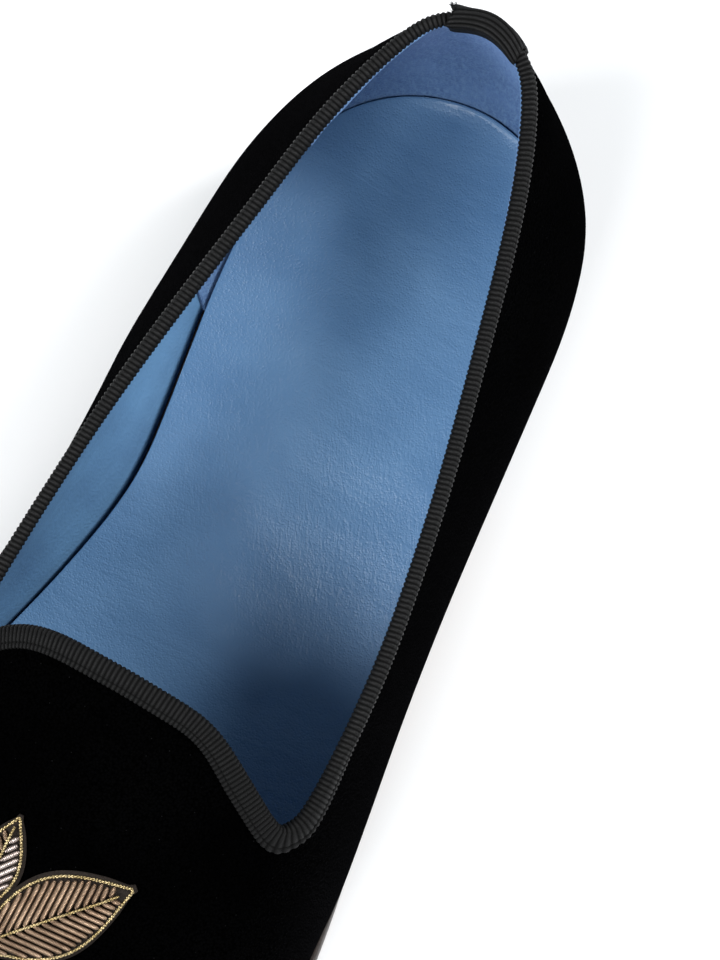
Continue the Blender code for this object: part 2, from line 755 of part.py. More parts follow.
def on_vamp(upper, side, along, lift):
    """Point a distance above the vamp's outer face at a place seen from above."""
    start = Vector((side, -along, 2 * BACK_HEIGHT))
    hit, place, normal, _ = upper.ray_cast(start, Vector((0, 0, -1)))
    return place + Vector((0, 0, lift / max(normal.z, 0.5)))


def sprig_axis(along):
    """Side position of the sprig's stem: it follows the ridge."""
    return ridge_point(along).x


def leaf_mesh(upper, leaf):
    """Padded pointed leaf, highest along its vein, thin at its cut edge."""
    start = SPRIG_START - leaf.along * SPRIG_LENGTH
    angle = math.radians(leaf.turn) * leaf.side
    along_dir = Vector((math.sin(angle), -math.cos(angle), 0))
    across_dir = Vector((math.cos(angle), math.sin(angle), 0))
    clearance = STEM_WIDTH / 2 + LEAF_CLEARANCE
    root = Vector((sprig_axis(start), start, 0)) + Vector((leaf.side * clearance, 0, 0))
    if leaf.side == 0:
        root.y -= LEAF_CLEARANCE
    length = LEAF_LENGTH * leaf.size
    half = LEAF_WIDTH * leaf.size / 2
    rows, columns = LEAF_ROWS, LEAF_COLUMNS
    points, faces = [], []
    for face in (0, 1):
        for r in range(rows + 1):
            share = r / rows
            wide = half * (math.sin(math.pi * share) ** LEAF_TAPER * (1 - LEAF_TIP) + LEAF_TIP)
            for c in range(columns + 1):
                across = 2 * c / columns - 1
                plan = root + along_dir * (length * share) + across_dir * (wide * across)
                swell = (1 - abs(across)) * min(1, 5 * share, 5 * (1 - share))
                pad = LEAF_EDGE + (LEAF_PAD - LEAF_EDGE) * swell
                points.append(on_vamp(upper, plan.x, plan.y, GAP + face * pad))
    layer = (rows + 1) * (columns + 1)

    def at(face, r, c):
        return face * layer + r * (columns + 1) + c

    for r in range(rows):
        for c in range(columns):
            for face in (0, 1):
                faces.append([at(face, r, c), at(face, r, c + 1), at(face, r + 1, c + 1), at(face, r + 1, c)])
        for c in (0, columns):
            faces.append([at(0, r, c), at(0, r + 1, c), at(1, r + 1, c), at(1, r, c)])
    for r in (0, rows):
        for c in range(columns):
            faces.append([at(0, r, c), at(0, r, c + 1), at(1, r, c + 1), at(1, r, c)])
    return points, faces


def build_sprig(upper):
    """Metal-thread sprig on the vamp: a stem along the ridge and pointed leaves beside it."""
    steps = STEM_ROWS
    points, faces = [], []
    for face in (0, 1):
        for step in range(steps + 1):
            along = SPRIG_START - SPRIG_LENGTH * LEAVES[-1].along * step / steps
            for side in (-1, 0, 1):
                lift = GAP + face * (LEAF_EDGE + (STEM_PAD if side == 0 else 0))
                points.append(on_vamp(upper, sprig_axis(along) + side * STEM_WIDTH / 2, along, lift))
    layer = 3 * (steps + 1)
    for step in range(steps):
        a, b = step * 3, step * 3 + 3
        for c in (0, 1):
            for face in (0, layer):
                faces.append([face + a + c, face + a + c + 1, face + b + c + 1, face + b + c])
        for c in (0, 2):
            faces.append([a + c, b + c, layer + b + c, layer + a + c])
    for step in (0, steps):
        for c in (0, 1):
            faces.append([step * 3 + c, step * 3 + c + 1, layer + step * 3 + c + 1, layer + step * 3 + c])
    finish("sprig_stem", closed_mesh("sprig_stem", points, faces), (0.30, 0.20, 0.13), 0.35)
    for number, leaf in enumerate(LEAVES, 1):
        name = f"sprig_leaf_{number}"
        points, faces = leaf_mesh(upper, leaf)
        finish(name, closed_mesh(name, points, faces), (0.28, 0.18, 0.12), 0.35)


def centre_on_floor():
    """Move every piece so that the middle of the shoe's box stands over the origin."""
    pieces = bpy.data.collections[SHOE].objects
    corners = [vertex.co for piece in pieces for vertex in piece.data.vertices]
    middle_x = (min(c.x for c in corners) + max(c.x for c in corners)) / 2
    middle_y = (min(c.y for c in corners) + max(c.y for c in corners)) / 2
    for piece in pieces:
        for vertex in piece.data.vertices:
            vertex.co -= Vector((middle_x, middle_y, 0))
        piece.data.update()


SHOE = "velvet_slipper_loafer"
for old in list(bpy.data.objects):
    bpy.data.objects.remove(old)
collection_for(SHOE)
build_outsole()
build_heel()
build_insole()
upper_piece = build_upper()
bpy.context.view_layer.update()
build_binding(upper_piece)
build_strip()
build_sprig(upper_piece)
centre_on_floor()
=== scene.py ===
"""Velvet slipper loafer, left shoe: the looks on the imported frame.

The toe points along -Y, the heel along +Y, the outer side along +X, and the floor is at z = 0.
"""
import math

import bmesh
import bpy
from mathutils import Matrix, Vector, noise
from mathutils.bvhtree import BVHTree


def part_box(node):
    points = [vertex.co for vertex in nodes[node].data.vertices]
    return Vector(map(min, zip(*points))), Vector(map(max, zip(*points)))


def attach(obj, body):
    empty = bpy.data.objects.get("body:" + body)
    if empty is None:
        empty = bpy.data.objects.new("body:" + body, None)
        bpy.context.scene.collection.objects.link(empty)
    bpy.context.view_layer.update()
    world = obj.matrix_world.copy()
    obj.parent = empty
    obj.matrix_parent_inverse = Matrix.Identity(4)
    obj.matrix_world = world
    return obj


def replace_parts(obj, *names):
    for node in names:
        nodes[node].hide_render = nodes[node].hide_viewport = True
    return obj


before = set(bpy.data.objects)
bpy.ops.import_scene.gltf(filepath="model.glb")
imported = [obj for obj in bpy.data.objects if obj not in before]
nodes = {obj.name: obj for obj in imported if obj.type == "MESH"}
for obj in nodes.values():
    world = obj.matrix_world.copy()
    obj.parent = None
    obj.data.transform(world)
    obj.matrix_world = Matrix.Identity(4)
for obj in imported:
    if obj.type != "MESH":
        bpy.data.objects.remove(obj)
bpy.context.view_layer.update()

# Velvet upper
# The shell is black cotton velvet cut in one vamp and two quarters, lasted over the form and cemented to the
# sole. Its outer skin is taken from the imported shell, rounded off and given its own thickness.
VELVET_THICKNESS = 0.0007
SHARP_TURN = math.radians(50)
THROAT_LINE = -0.0075
THROAT_EASE = 0.018
THROAT_LOW = 0.055
THROAT_CLIMB = 0.010
# Each shoulder's side place, its spread, and how far it is drawn towards the heel.
SHOULDERS = [
    (0.0168, 0.0075, 0.0017),
    (-0.0262, 0.0100, 0.0020),
]
PILE_DARK = (0.0004, 0.0004, 0.00045, 1)
PILE_LIGHT = (0.0009, 0.0009, 0.001, 1)
# Painted shade at the pile's roots, between the tufts.
PILE_ROOT_PAINTED_SHADE = (0.0002, 0.0002, 0.0002, 1)
LINT = (0.006, 0.006, 0.0064, 1)


def only(piece):
    """Select one piece and make it active, with everything else deselected."""
    if bpy.context.object and bpy.context.object.mode != "OBJECT":
        bpy.ops.object.mode_set(mode="OBJECT")
    bpy.ops.object.select_all(action="DESELECT")
    piece.hide_set(False)
    piece.select_set(True)
    bpy.context.view_layer.objects.active = piece


def copy_of(node, name):
    """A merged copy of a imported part's mesh, as quads, for refining."""
    piece = bpy.data.objects.new(name, nodes[node].data.copy())
    piece.data.name = name
    bpy.context.scene.collection.objects.link(piece)
    piece.data.materials.clear()
    only(piece)
    bpy.ops.object.mode_set(mode="EDIT")
    bpy.ops.mesh.select_all(action="SELECT")
    bpy.ops.mesh.remove_doubles(threshold=1e-5)
    bpy.ops.mesh.customdata_custom_splitnormals_clear()
    bpy.ops.mesh.tris_convert_to_quads(face_threshold=math.radians(50), shape_threshold=math.radians(60))
    bpy.ops.object.mode_set(mode="OBJECT")
    return piece


def apply(piece, kind, **values):
    """Add a modifier with its values and apply it."""
    only(piece)
    modifier = piece.modifiers.new(kind.lower(), kind)
    for key, value in values.items():
        setattr(modifier, key, value)
    bpy.ops.object.modifier_apply(modifier=modifier.name)


def skins(piece):
    """Face index lists of the piece's skins, split where faces turn sharply, the largest two first."""
    work = bmesh.new()
    work.from_mesh(piece.data)
    left = set(work.faces)
    found = []
    while left:
        stack = [left.pop()]
        skin = []
        while stack:
            face = stack.pop()
            skin.append(face.index)
            for edge in face.edges:
                if len(edge.link_faces) == 2 and edge.calc_face_angle() < SHARP_TURN:
                    for near in edge.link_faces:
                        if near in left:
                            left.discard(near)
                            stack.append(near)
        found.append(skin)
    work.free()
    return sorted(found, key=len, reverse=True)


def keep_faces(piece, wanted):
    """Delete every face that isn't wanted, with the edges and corners that only it used."""
    wanted = set(wanted)
    work = bmesh.new()
    work.from_mesh(piece.data)
    bmesh.ops.delete(work, geom=[face for face in work.faces if face.index not in wanted], context="FACES")
    work.to_mesh(piece.data)
    work.free()


def skin_of(node, name, which):
    """The outer (0) or inner (1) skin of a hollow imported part."""
    piece = copy_of(node, name)
    first, second = skins(piece)[:2]
    mesh = piece.data
    size = [sum(mesh.polygons[index].area for index in skin) for skin in (first, second)]
    outer, inner = (first, second) if size[0] > size[1] else (second, first)
    keep_faces(piece, (outer, inner)[which])
    return piece


def tree_of(mesh):
    """Search tree of a mesh, for finding the surface that the next piece lies on."""
    places = [corner.co for corner in mesh.vertices]
    return BVHTree.FromPolygons(places, [face.vertices for face in mesh.polygons])


def node_group(name, inputs, outputs):
    """An empty shader group with named sockets, and its two end nodes."""
    group = bpy.data.node_groups.new(name, "ShaderNodeTree")
    for label, kind, value in inputs:
        socket = group.interface.new_socket(name=label, in_out="INPUT", socket_type=kind)
        socket.default_value = value
    for label, kind in outputs:
        group.interface.new_socket(name=label, in_out="OUTPUT", socket_type=kind)
    return group, group.nodes.new("NodeGroupInput"), group.nodes.new("NodeGroupOutput")


def add(tree, kind, values=None, **settings):
    """New node with its settings and input values. A value that is a socket is linked."""
    node = tree.nodes.new(kind)
    for key, value in settings.items():
        setattr(node, key, value)
    for key, value in (values or {}).items():
        if isinstance(value, bpy.types.NodeSocket):
            tree.links.new(value, node.inputs[key])
        else:
            node.inputs[key].default_value = value
    return node


def blended(tree, factor, low, high):
    """Colour output that goes from low to high with a factor."""
    node = add(tree, "ShaderNodeMix", data_type="RGBA")
    for socket, value in ((node.inputs[0], factor), (node.inputs[6], low), (node.inputs[7], high)):
        if isinstance(value, bpy.types.NodeSocket):
            tree.links.new(value, socket)
        else:
            socket.default_value = value
    return node.outputs[2]


def reach(tree, value, low, high, to_low=0.0, to_high=1.0):
    """Value mapped from one range to another and clamped."""
    return add(tree, "ShaderNodeMapRange", {0: value, 1: low, 2: high, 3: to_low, 4: to_high}).outputs[0]


def surface(name, **values):
    """New material with a Principled shader, and its Object coordinates."""
    material = bpy.data.materials.new(name)
    material.use_nodes = True
    tree = material.node_tree
    shader = tree.nodes["Principled BSDF"]
    for key, value in values.items():
        shader.inputs[key.replace("_", " ")].default_value = value
    place = tree.nodes.new("ShaderNodeTexCoord").outputs["Object"]
    return material, tree, shader, place


def rgb(red, green, blue):
    """Screen colour of 0 to 255 a channel as a linear colour."""
    def linear(value):
        value /= 255
        return value / 12.92 if value <= 0.04045 else ((value + 0.055) / 1.055) ** 2.4
    return (linear(red), linear(green), linear(blue), 1)


def grain_group():
    """Mottle and fine relief: a slow cloud that shifts colour and a fine grain for the bump."""
    group, ends_in, ends_out = node_group(
        "cloud and grain",
        [("Place", "NodeSocketVector", (0, 0, 0)), ("Cloud size", "NodeSocketFloat", 60.0),
         ("Grain size", "NodeSocketFloat", 1500.0), ("Roughening", "NodeSocketFloat", 0.5)],
        [("Cloud", "NodeSocketFloat"), ("Grain", "NodeSocketFloat")])
    place = ends_in.outputs["Place"]
    cloud = add(group, "ShaderNodeTexNoise",
                {"Vector": place, "Scale": ends_in.outputs["Cloud size"], "Detail": 3.0, "Roughness": 0.55})
    grain = add(group, "ShaderNodeTexNoise",
                {"Vector": place, "Scale": ends_in.outputs["Grain size"], "Detail": 2.0,
                 "Roughness": ends_in.outputs["Roughening"]})
    group.links.new(cloud.outputs[0], ends_out.inputs["Cloud"])
    group.links.new(grain.outputs[0], ends_out.inputs["Grain"])
    return group


GRAIN = grain_group()


def grained(tree, place, cloud_size, grain_size, roughening=0.5):
    """The group's two outputs in a material."""
    node = add(tree, "ShaderNodeGroup", node_tree=GRAIN)
    tree.links.new(place, node.inputs["Place"])
    node.inputs["Cloud size"].default_value = cloud_size
    node.inputs["Grain size"].default_value = grain_size
    node.inputs["Roughening"].default_value = roughening
    return node.outputs["Cloud"], node.outputs["Grain"]


def bumped(tree, shader, height, strength, distance):
    """Relief on a material, from a height."""
    node = add(tree, "ShaderNodeBump", {"Height": height, "Strength": strength, "Distance": distance})
    tree.links.new(node.outputs[0], shader.inputs["Normal"])


def velvet():
    """Black pile: no gloss, a little light on its grazing nap, and a fine speckle of single tufts with
    painted shade at their roots.
    """
    material, tree, shader, place = surface(
        "black velvet", Roughness=1.0, Specular_IOR_Level=0.0, Sheen_Weight=0.008, Sheen_Roughness=0.3,
        Sheen_Tint=rgb(225, 225, 235))
    cloud, grain = grained(tree, place, 45.0, 2600.0, 0.6)
    tufts = add(tree, "ShaderNodeTexVoronoi", {"Vector": place, "Scale": 1900.0})
    speckle = reach(tree, tufts.outputs["Distance"], 0.15, 0.75)
    shade = blended(tree, reach(tree, cloud, 0.35, 0.7), PILE_DARK, PILE_LIGHT)
    # Painted shade: darker between the tufts, down at the pile's roots.
    shade = blended(tree, speckle, shade, PILE_ROOT_PAINTED_SHADE)
    specks = add(tree, "ShaderNodeTexVoronoi", {"Vector": place, "Scale": 420.0})
    shade = blended(tree, reach(tree, specks.outputs["Distance"], 0.03, 0.06, 1.0, 0.0), shade, LINT)
    tree.links.new(shade, shader.inputs["Base Color"])
    height = add(tree, "ShaderNodeMath", {0: grain, 1: speckle}, operation="ADD")
    bumped(tree, shader, height.outputs[0], 0.55, 0.0003)
    return material


def ease_shoulders(piece):
    """Draw the throat's two shoulders a little towards the heel, as the taut ribbon does."""
    for corner in piece.data.vertices:
        place = corner.co
        near_edge = min(1, max(0, (place.y - THROAT_LINE) / THROAT_EASE + 1))
        high = min(1, max(0, (place.z - THROAT_LOW) / THROAT_CLIMB))
        pull = sum(draw * math.exp(-((place.x - middle) / spread) ** 2) for middle, spread, draw in SHOULDERS)
        place.y += pull * near_edge * high


VELVET = velvet()
upper = skin_of("upper", "velvet_upper", 0)
apply(upper, "SUBSURF", levels=2, render_levels=2)
ease_shoulders(upper)
outer_skin = upper.data.copy()
OUTER = tree_of(outer_skin)
apply(upper, "SOLIDIFY", thickness=VELVET_THICKNESS, offset=-1.0)
upper.data.materials.append(VELVET)
upper.data.shade_smooth()
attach(upper, "root")
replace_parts(upper, "upper")

# Quarter lining and heel lining
# Blue kid leather is glued inside the velvet, with fine draws where it turns under the sock. Round the heel a
# suede grip of a more violet blue is laid over it and ends in a straight edge on each side.
LINING_THICKNESS = 0.0006
LINING_BLUE = rgb(84, 121, 155)
LINING_DEEP = rgb(73, 106, 139)
GRIP_THICKNESS = 0.0008
GRIP_FRONT = (0, 0.092, 0.045)
GRIP_FRONT_WAY = (0, -1, 0.55)
# Waves a metre and rise of each size of crumple.
GRIP_CRUMPLES = [(260, 0.00016), (90, 0.0002)]
SUEDE_BLUE = rgb(77, 104, 143)
SUEDE_DEEP = rgb(60, 85, 123)
SUEDE_RUBBED = rgb(88, 118, 155)
SUEDE_NAP = rgb(98, 128, 161)


def lining_leather():
    """Blue kid with a soft shine, mottled, and drawn into fine lengthwise waves."""
    material, tree, shader, place = surface(
        "blue lining leather", Roughness=0.5, Specular_IOR_Level=0.35, Coat_Weight=0.03, Coat_Roughness=0.4)
    cloud, grain = grained(tree, place, 55.0, 1500.0)
    shade = blended(tree, reach(tree, cloud, 0.35, 0.7), LINING_BLUE, LINING_DEEP)
    tree.links.new(shade, shader.inputs["Base Color"])
    turned = add(tree, "ShaderNodeMapping", {"Vector": place, "Scale": (1.0, 0.35, 1.6)})
    draws = add(tree, "ShaderNodeTexNoise", {"Vector": turned.outputs[0], "Scale": 320.0, "Detail": 3.0})
    height = add(tree, "ShaderNodeMath", {0: grain, 1: draws.outputs[0]}, operation="ADD")
    tree.links.new(reach(tree, grain, 0.3, 0.7, 0.44, 0.58), shader.inputs["Roughness"])
    bumped(tree, shader, height.outputs[0], 0.35, 0.0004)
    return material


def heel_suede():
    """Violet-blue suede with its nap brushed one way."""
    material, tree, shader, place = surface(
        "blue heel suede", Roughness=0.95, Specular_IOR_Level=0.1, Sheen_Weight=0.35, Sheen_Roughness=0.5,
        Sheen_Tint=rgb(150, 175, 230))
    cloud, grain = grained(tree, place, 90.0, 1900.0, 0.7)
    shade = blended(tree, reach(tree, cloud, 0.35, 0.65), SUEDE_BLUE, SUEDE_DEEP)
    shade = blended(tree, reach(tree, grain, 0.3, 0.7), shade, SUEDE_RUBBED)
    drawn = add(tree, "ShaderNodeMapping",
                {"Vector": place, "Rotation": (0.0, 0.6, 0.4), "Scale": (1.0, 1.0, 0.3)})
    nap = add(tree, "ShaderNodeTexNoise", {"Vector": drawn.outputs[0], "Scale": 1500.0, "Detail": 4.0,
                                           "Distortion": 0.6}).outputs[0]
    shade = blended(tree, reach(tree, nap, 0.45, 0.8), shade, SUEDE_NAP)
    tree.links.new(shade, shader.inputs["Base Color"])
    height = add(tree, "ShaderNodeMath", {0: grain, 1: nap}, operation="ADD")
    bumped(tree, shader, height.outputs[0], 0.6, 0.0005)
    return material


lining = skin_of("upper", "quarter_lining", 1)
apply(lining, "SUBSURF", levels=2, render_levels=2)
ease_shoulders(lining)
INNER = tree_of(lining.data)
heel_grip = bpy.data.objects.new("heel_grip", lining.data.copy())
bpy.context.scene.collection.objects.link(heel_grip)
apply(lining, "SOLIDIFY", thickness=LINING_THICKNESS, offset=-1.0)
lining.data.materials.append(lining_leather())
lining.data.shade_smooth()
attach(lining, "root")
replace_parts(lining, "upper")


def cut_away(piece, point, way):
    """Cut a piece along a plane and drop what lies on the far side of it."""
    work = bmesh.new()
    work.from_mesh(piece.data)
    bmesh.ops.bisect_plane(work, geom=work.verts[:] + work.edges[:] + work.faces[:], dist=1e-6,
                           plane_co=point, plane_no=way, clear_outer=True)
    work.to_mesh(piece.data)
    work.free()


cut_away(heel_grip, GRIP_FRONT, GRIP_FRONT_WAY)
apply(heel_grip, "SUBSURF", levels=1, render_levels=1, subdivision_type="SIMPLE")
ways_out = [corner.normal.copy() for corner in heel_grip.data.vertices]
for corner, way in zip(heel_grip.data.vertices, ways_out):
    crumple = sum(noise.noise(corner.co * waves) * rise for waves, rise in GRIP_CRUMPLES)
    corner.co += way * crumple
apply(heel_grip, "SOLIDIFY", thickness=GRIP_THICKNESS, offset=1.0)
heel_grip.data.materials.append(heel_suede())
heel_grip.data.shade_smooth()
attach(heel_grip, "root")

# Sock
# The sock is one piece of fine-grained blue kid glued on the insole board, plain, with faint waves across it
# and a patch of fine wrinkles at the waist.
WRINKLE_CENTRE = (0.006, 0.055, 0.018)
WRINKLE_TURN = math.radians(27)
SOCK_SPREAD = 0.00025
SOCK_RISE = 0.00022
SOCK_WAVES = (55, 110)
SOCK_BLUE = rgb(90, 126, 162)
SOCK_DEEP = rgb(75, 111, 148)


def sock_leather():
    """Blue kid with pores, slow waves across the foot, and a patch of fine slanting wrinkles."""
    material, tree, shader, place = surface(
        "blue sock leather", Roughness=0.42, Specular_IOR_Level=0.45, Coat_Weight=0.08, Coat_Roughness=0.35)
    cloud, grain = grained(tree, place, 40.0, 1700.0)
    shade = blended(tree, reach(tree, cloud, 0.3, 0.7), SOCK_BLUE, SOCK_DEEP)
    tree.links.new(shade, shader.inputs["Base Color"])
    pores = add(tree, "ShaderNodeTexVoronoi", {"Vector": place, "Scale": 1900.0})
    pores_high = reach(tree, pores.outputs["Distance"], 0.0, 0.5)
    turned = add(tree, "ShaderNodeMapping", {"Vector": place, "Scale": (0.5, 1.6, 1.0)})
    waves = add(tree, "ShaderNodeTexNoise", {"Vector": turned.outputs[0], "Scale": 150.0, "Detail": 3.0,
                                             "Distortion": 1.5})
    slow = add(tree, "ShaderNodeMath", {0: waves.outputs[0], 1: 2.2}, operation="MULTIPLY")
    fine = add(tree, "ShaderNodeMath", {0: pores_high, 1: slow.outputs[0]}, operation="ADD")
    laid = add(tree, "ShaderNodeMapping", {"Vector": place, "Rotation": (0.0, 0.0, WRINKLE_TURN),
                                           "Scale": (0.36, 1.5, 1.0)}, vector_type="TEXTURE")
    folds = add(tree, "ShaderNodeTexNoise", {"Vector": laid.outputs[0], "Scale": 480.0, "Detail": 2.0,
                                             "Distortion": 1.2})
    away = add(tree, "ShaderNodeVectorMath", {0: place, 1: WRINKLE_CENTRE}, operation="DISTANCE")
    amount = reach(tree, away.outputs["Value"], 0.008, 0.042, 2.6, 0.35)
    folded = add(tree, "ShaderNodeMath", {0: folds.outputs[0], 1: amount}, operation="MULTIPLY")
    grown = add(tree, "ShaderNodeMath", {0: fine.outputs[0], 1: folded.outputs[0]}, operation="ADD")
    height = add(tree, "ShaderNodeMath", {0: grown.outputs[0], 1: grain}, operation="ADD")
    tree.links.new(reach(tree, grain, 0.3, 0.7, 0.34, 0.46), shader.inputs["Roughness"])
    bumped(tree, shader, height.outputs[0], 0.26, 0.0003)
    return material


sock = copy_of("insole", "sock")
apply(sock, "BEVEL", width=0.0005, segments=2, limit_method="ANGLE", angle_limit=math.radians(50))
apply(sock, "SUBSURF", levels=3, render_levels=3)
ways_out = [corner.normal.copy() for corner in sock.data.vertices]
for corner, way in zip(sock.data.vertices, ways_out):
    corner.co += Vector((way.x, way.y, 0)) * SOCK_SPREAD
    if way.z > 0.5:
        spot = Vector((corner.co.x * SOCK_WAVES[0], corner.co.y * SOCK_WAVES[1], 0))
        corner.co.z += SOCK_RISE * noise.noise(spot)
sock.data.materials.append(sock_leather())
sock.data.shade_smooth()
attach(sock, "root")
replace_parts(sock, "insole")

# Outsole, heel and top piece
# A single leather sole is cut close to the upper, its edge inked dark and its tread left tan. The heel is a
# stack of leather lifts on a rubber top piece, all trimmed and polished to one edge.
EDGE_ROUND = 0.0003
EDGE_INK = rgb(30, 23, 18)
EDGE_RUBBED = rgb(46, 34, 26)
TREAD_TAN = rgb(160, 124, 86)
TREAD_WORN = rgb(132, 100, 68)
LIFT_TAN = rgb(150, 116, 80)
LIFT_BANDS = 62.0
RUBBER_DARK = rgb(22, 21, 20)
RUBBER_LIGHT = rgb(36, 34, 32)


def sole_leather(name, tread_shade, bands_per_metre):
    """Inked and polished on its sides, tan underneath, with lines between the lifts where it is stacked."""
    material, tree, shader, place = surface(name, Roughness=0.5, Specular_IOR_Level=0.4, Coat_Weight=0.15,
                                            Coat_Roughness=0.3)
    cloud, grain = grained(tree, place, 70.0, 900.0)
    facing = add(tree, "ShaderNodeNewGeometry")
    split = add(tree, "ShaderNodeSeparateXYZ", {0: facing.outputs["Normal"]})
    under = reach(tree, split.outputs["Z"], -0.85, -0.6, 1.0, 0.0)
    worn = blended(tree, reach(tree, cloud, 0.35, 0.7), tread_shade, TREAD_WORN)
    edge = blended(tree, reach(tree, grain, 0.3, 0.8), EDGE_INK, EDGE_RUBBED)
    tree.links.new(blended(tree, under, edge, worn), shader.inputs["Base Color"])
    height = grain
    if bands_per_metre:
        bands = add(tree, "ShaderNodeTexWave",
                    {"Vector": place, "Scale": bands_per_metre, "Distortion": 0.4, "Detail": 1.0},
                    wave_type="BANDS", bands_direction="Z")
        height = add(tree, "ShaderNodeMath", {0: grain, 1: bands.outputs["Fac"]}, operation="ADD").outputs[0]
    bumped(tree, shader, height, 0.35, 0.0003)
    return material


def refined(node, name, material):
    """A part of the bottom with its edges broken and its curves smoothed."""
    piece = copy_of(node, name)
    apply(piece, "BEVEL", width=EDGE_ROUND, segments=2, limit_method="ANGLE", angle_limit=math.radians(40))
    apply(piece, "SUBSURF", levels=2, render_levels=2)
    piece.data.materials.append(material)
    only(piece)
    bpy.ops.object.shade_smooth_by_angle(angle=math.radians(40))
    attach(piece, "root")
    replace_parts(piece, node)


refined("outsole", "leather_outsole", sole_leather("leather sole", TREAD_TAN, 0))
refined("heel_block", "heel_lifts", sole_leather("heel lifts", LIFT_TAN, LIFT_BANDS))


def top_rubber():
    """Dark matt rubber."""
    material, tree, shader, place = surface("heel rubber", Roughness=0.7, Specular_IOR_Level=0.3)
    cloud, grain = grained(tree, place, 80.0, 1200.0)
    tree.links.new(blended(tree, cloud, RUBBER_DARK, RUBBER_LIGHT), shader.inputs["Base Color"])
    bumped(tree, shader, grain, 0.3, 0.0003)
    return material


refined("heel_top_piece", "rubber_top_piece", top_rubber())

# Topline binding
# A charcoal ribbed silk ribbon is folded over the raw edge of the velvet and its lining, all round the collar
# and across the tongue. Its ribs stand square to the edge, and each ends in a small loop of its selvage.
RIB_PITCH = 0.00100
RIBBON_SIDE_LEG = 0.0020
RIBBON_THROAT_LEG = 0.0044
RIBBON_INNER_LEG = 0.0040
RIBBON_CLEARANCE = 0.0001
RIBBON_BODY = 0.00032
RIB_RISE = 0.00026
RIB_ROUNDNESS = 0.55
SELVAGE_LOOP = 0.00024
SEAM_INSET = 0.0010
SEAM_HALF = 0.0003
STEPS_A_RIB = 8
COLLAR_WALL = 0.0015
CAST_REACH = 0.004
THROAT_LEG_FROM = 0.006
THROAT_LEG_RUN = 0.016
# Painted shade on the ribbon's outer face and crown across the throat.
THROAT_PAINTED_SHADE = 0.35
RIBBON_DARK = (0.0030, 0.0030, 0.0031, 1)
RIBBON_LIGHT = (0.0054, 0.0054, 0.0055, 1)
RIBBON_YARN = (0.012, 0.012, 0.0122, 1)
# Painted shade: the colour of the ribs' grooves.
RIBBON_GROOVE_PAINTED_SHADE = (0.0005, 0.0005, 0.0005, 1)


def cast(tree, start, way, reach_of):
    """Where a ray meets a skin: (point, normal), or None."""
    point, normal, _, _ = tree.ray_cast(start, way, reach_of)
    return (point, normal) if point else None


def collar_ring():
    """The collar's edge on the shell's outer skin, in order, with the skin's normals."""
    work = bmesh.new()
    work.from_mesh(outer_skin)
    open_edges = [edge for edge in work.edges if edge.is_boundary]
    start = max((vert for edge in open_edges for vert in edge.verts), key=lambda vert: vert.co.z)
    ring = [start]
    while True:
        here = ring[-1]
        near = [edge.other_vert(here) for edge in here.link_edges if edge.is_boundary]
        onward = [vert for vert in near if len(ring) < 2 or vert is not ring[-2]]
        if onward[0] is start:
            break
        ring.append(onward[0])
    path = [(vert.co.copy(), vert.normal.copy()) for vert in ring]
    work.free()
    return path


def rounded(values, width):
    """Running mean round a ring."""
    count = len(values)
    return [sum((values[(k + j) % count] for j in range(-width, width + 1)), Vector()) / (2 * width + 1)
            for k in range(count)]


def even_ring(path, pitch):
    """Points and normals at even steps round a closed path, with a whole number of steps."""
    places = [place for place, _ in path]
    total = sum((places[k] - places[k - 1]).length for k in range(len(places)))
    count = int(round(total / pitch))
    step = total / count
    points, normals = [], []
    travelled, k = 0.0, 0
    for number in range(count):
        goal = number * step
        while True:
            first, second = path[k % len(path)], path[(k + 1) % len(path)]
            length = (second[0] - first[0]).length
            if travelled + length >= goal or length == 0 and travelled >= goal:
                break
            travelled += length
            k += 1
        share = (goal - travelled) / length if length else 0
        points.append(first[0].lerp(second[0], share))
        normals.append(first[1].lerp(second[1], share).normalized())
    return points, normals


def tube_faces(rows, size, closed):
    """Quads between sections of a sweep."""
    faces = []
    for row in range(rows if closed else rows - 1):
        after = (row + 1) % rows
        for k in range(size):
            m = (k + 1) % size
            faces.append((row * size + k, row * size + m, after * size + m, after * size + k))
    return faces


def new_piece(name, points, faces, material, slot):
    """A smooth piece from corners and faces, turned outwards, on the shoe's one body."""
    mesh = bpy.data.meshes.new(name)
    mesh.from_pydata(points, [], faces)
    work = bmesh.new()
    work.from_mesh(mesh)
    bmesh.ops.recalc_face_normals(work, faces=work.faces)
    work.to_mesh(mesh)
    work.free()
    piece = bpy.data.objects.new(name, mesh)
    bpy.context.scene.collection.objects.link(piece)
    mesh.materials.append(material)
    mesh.shade_smooth()
    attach(piece, "root")
    return piece


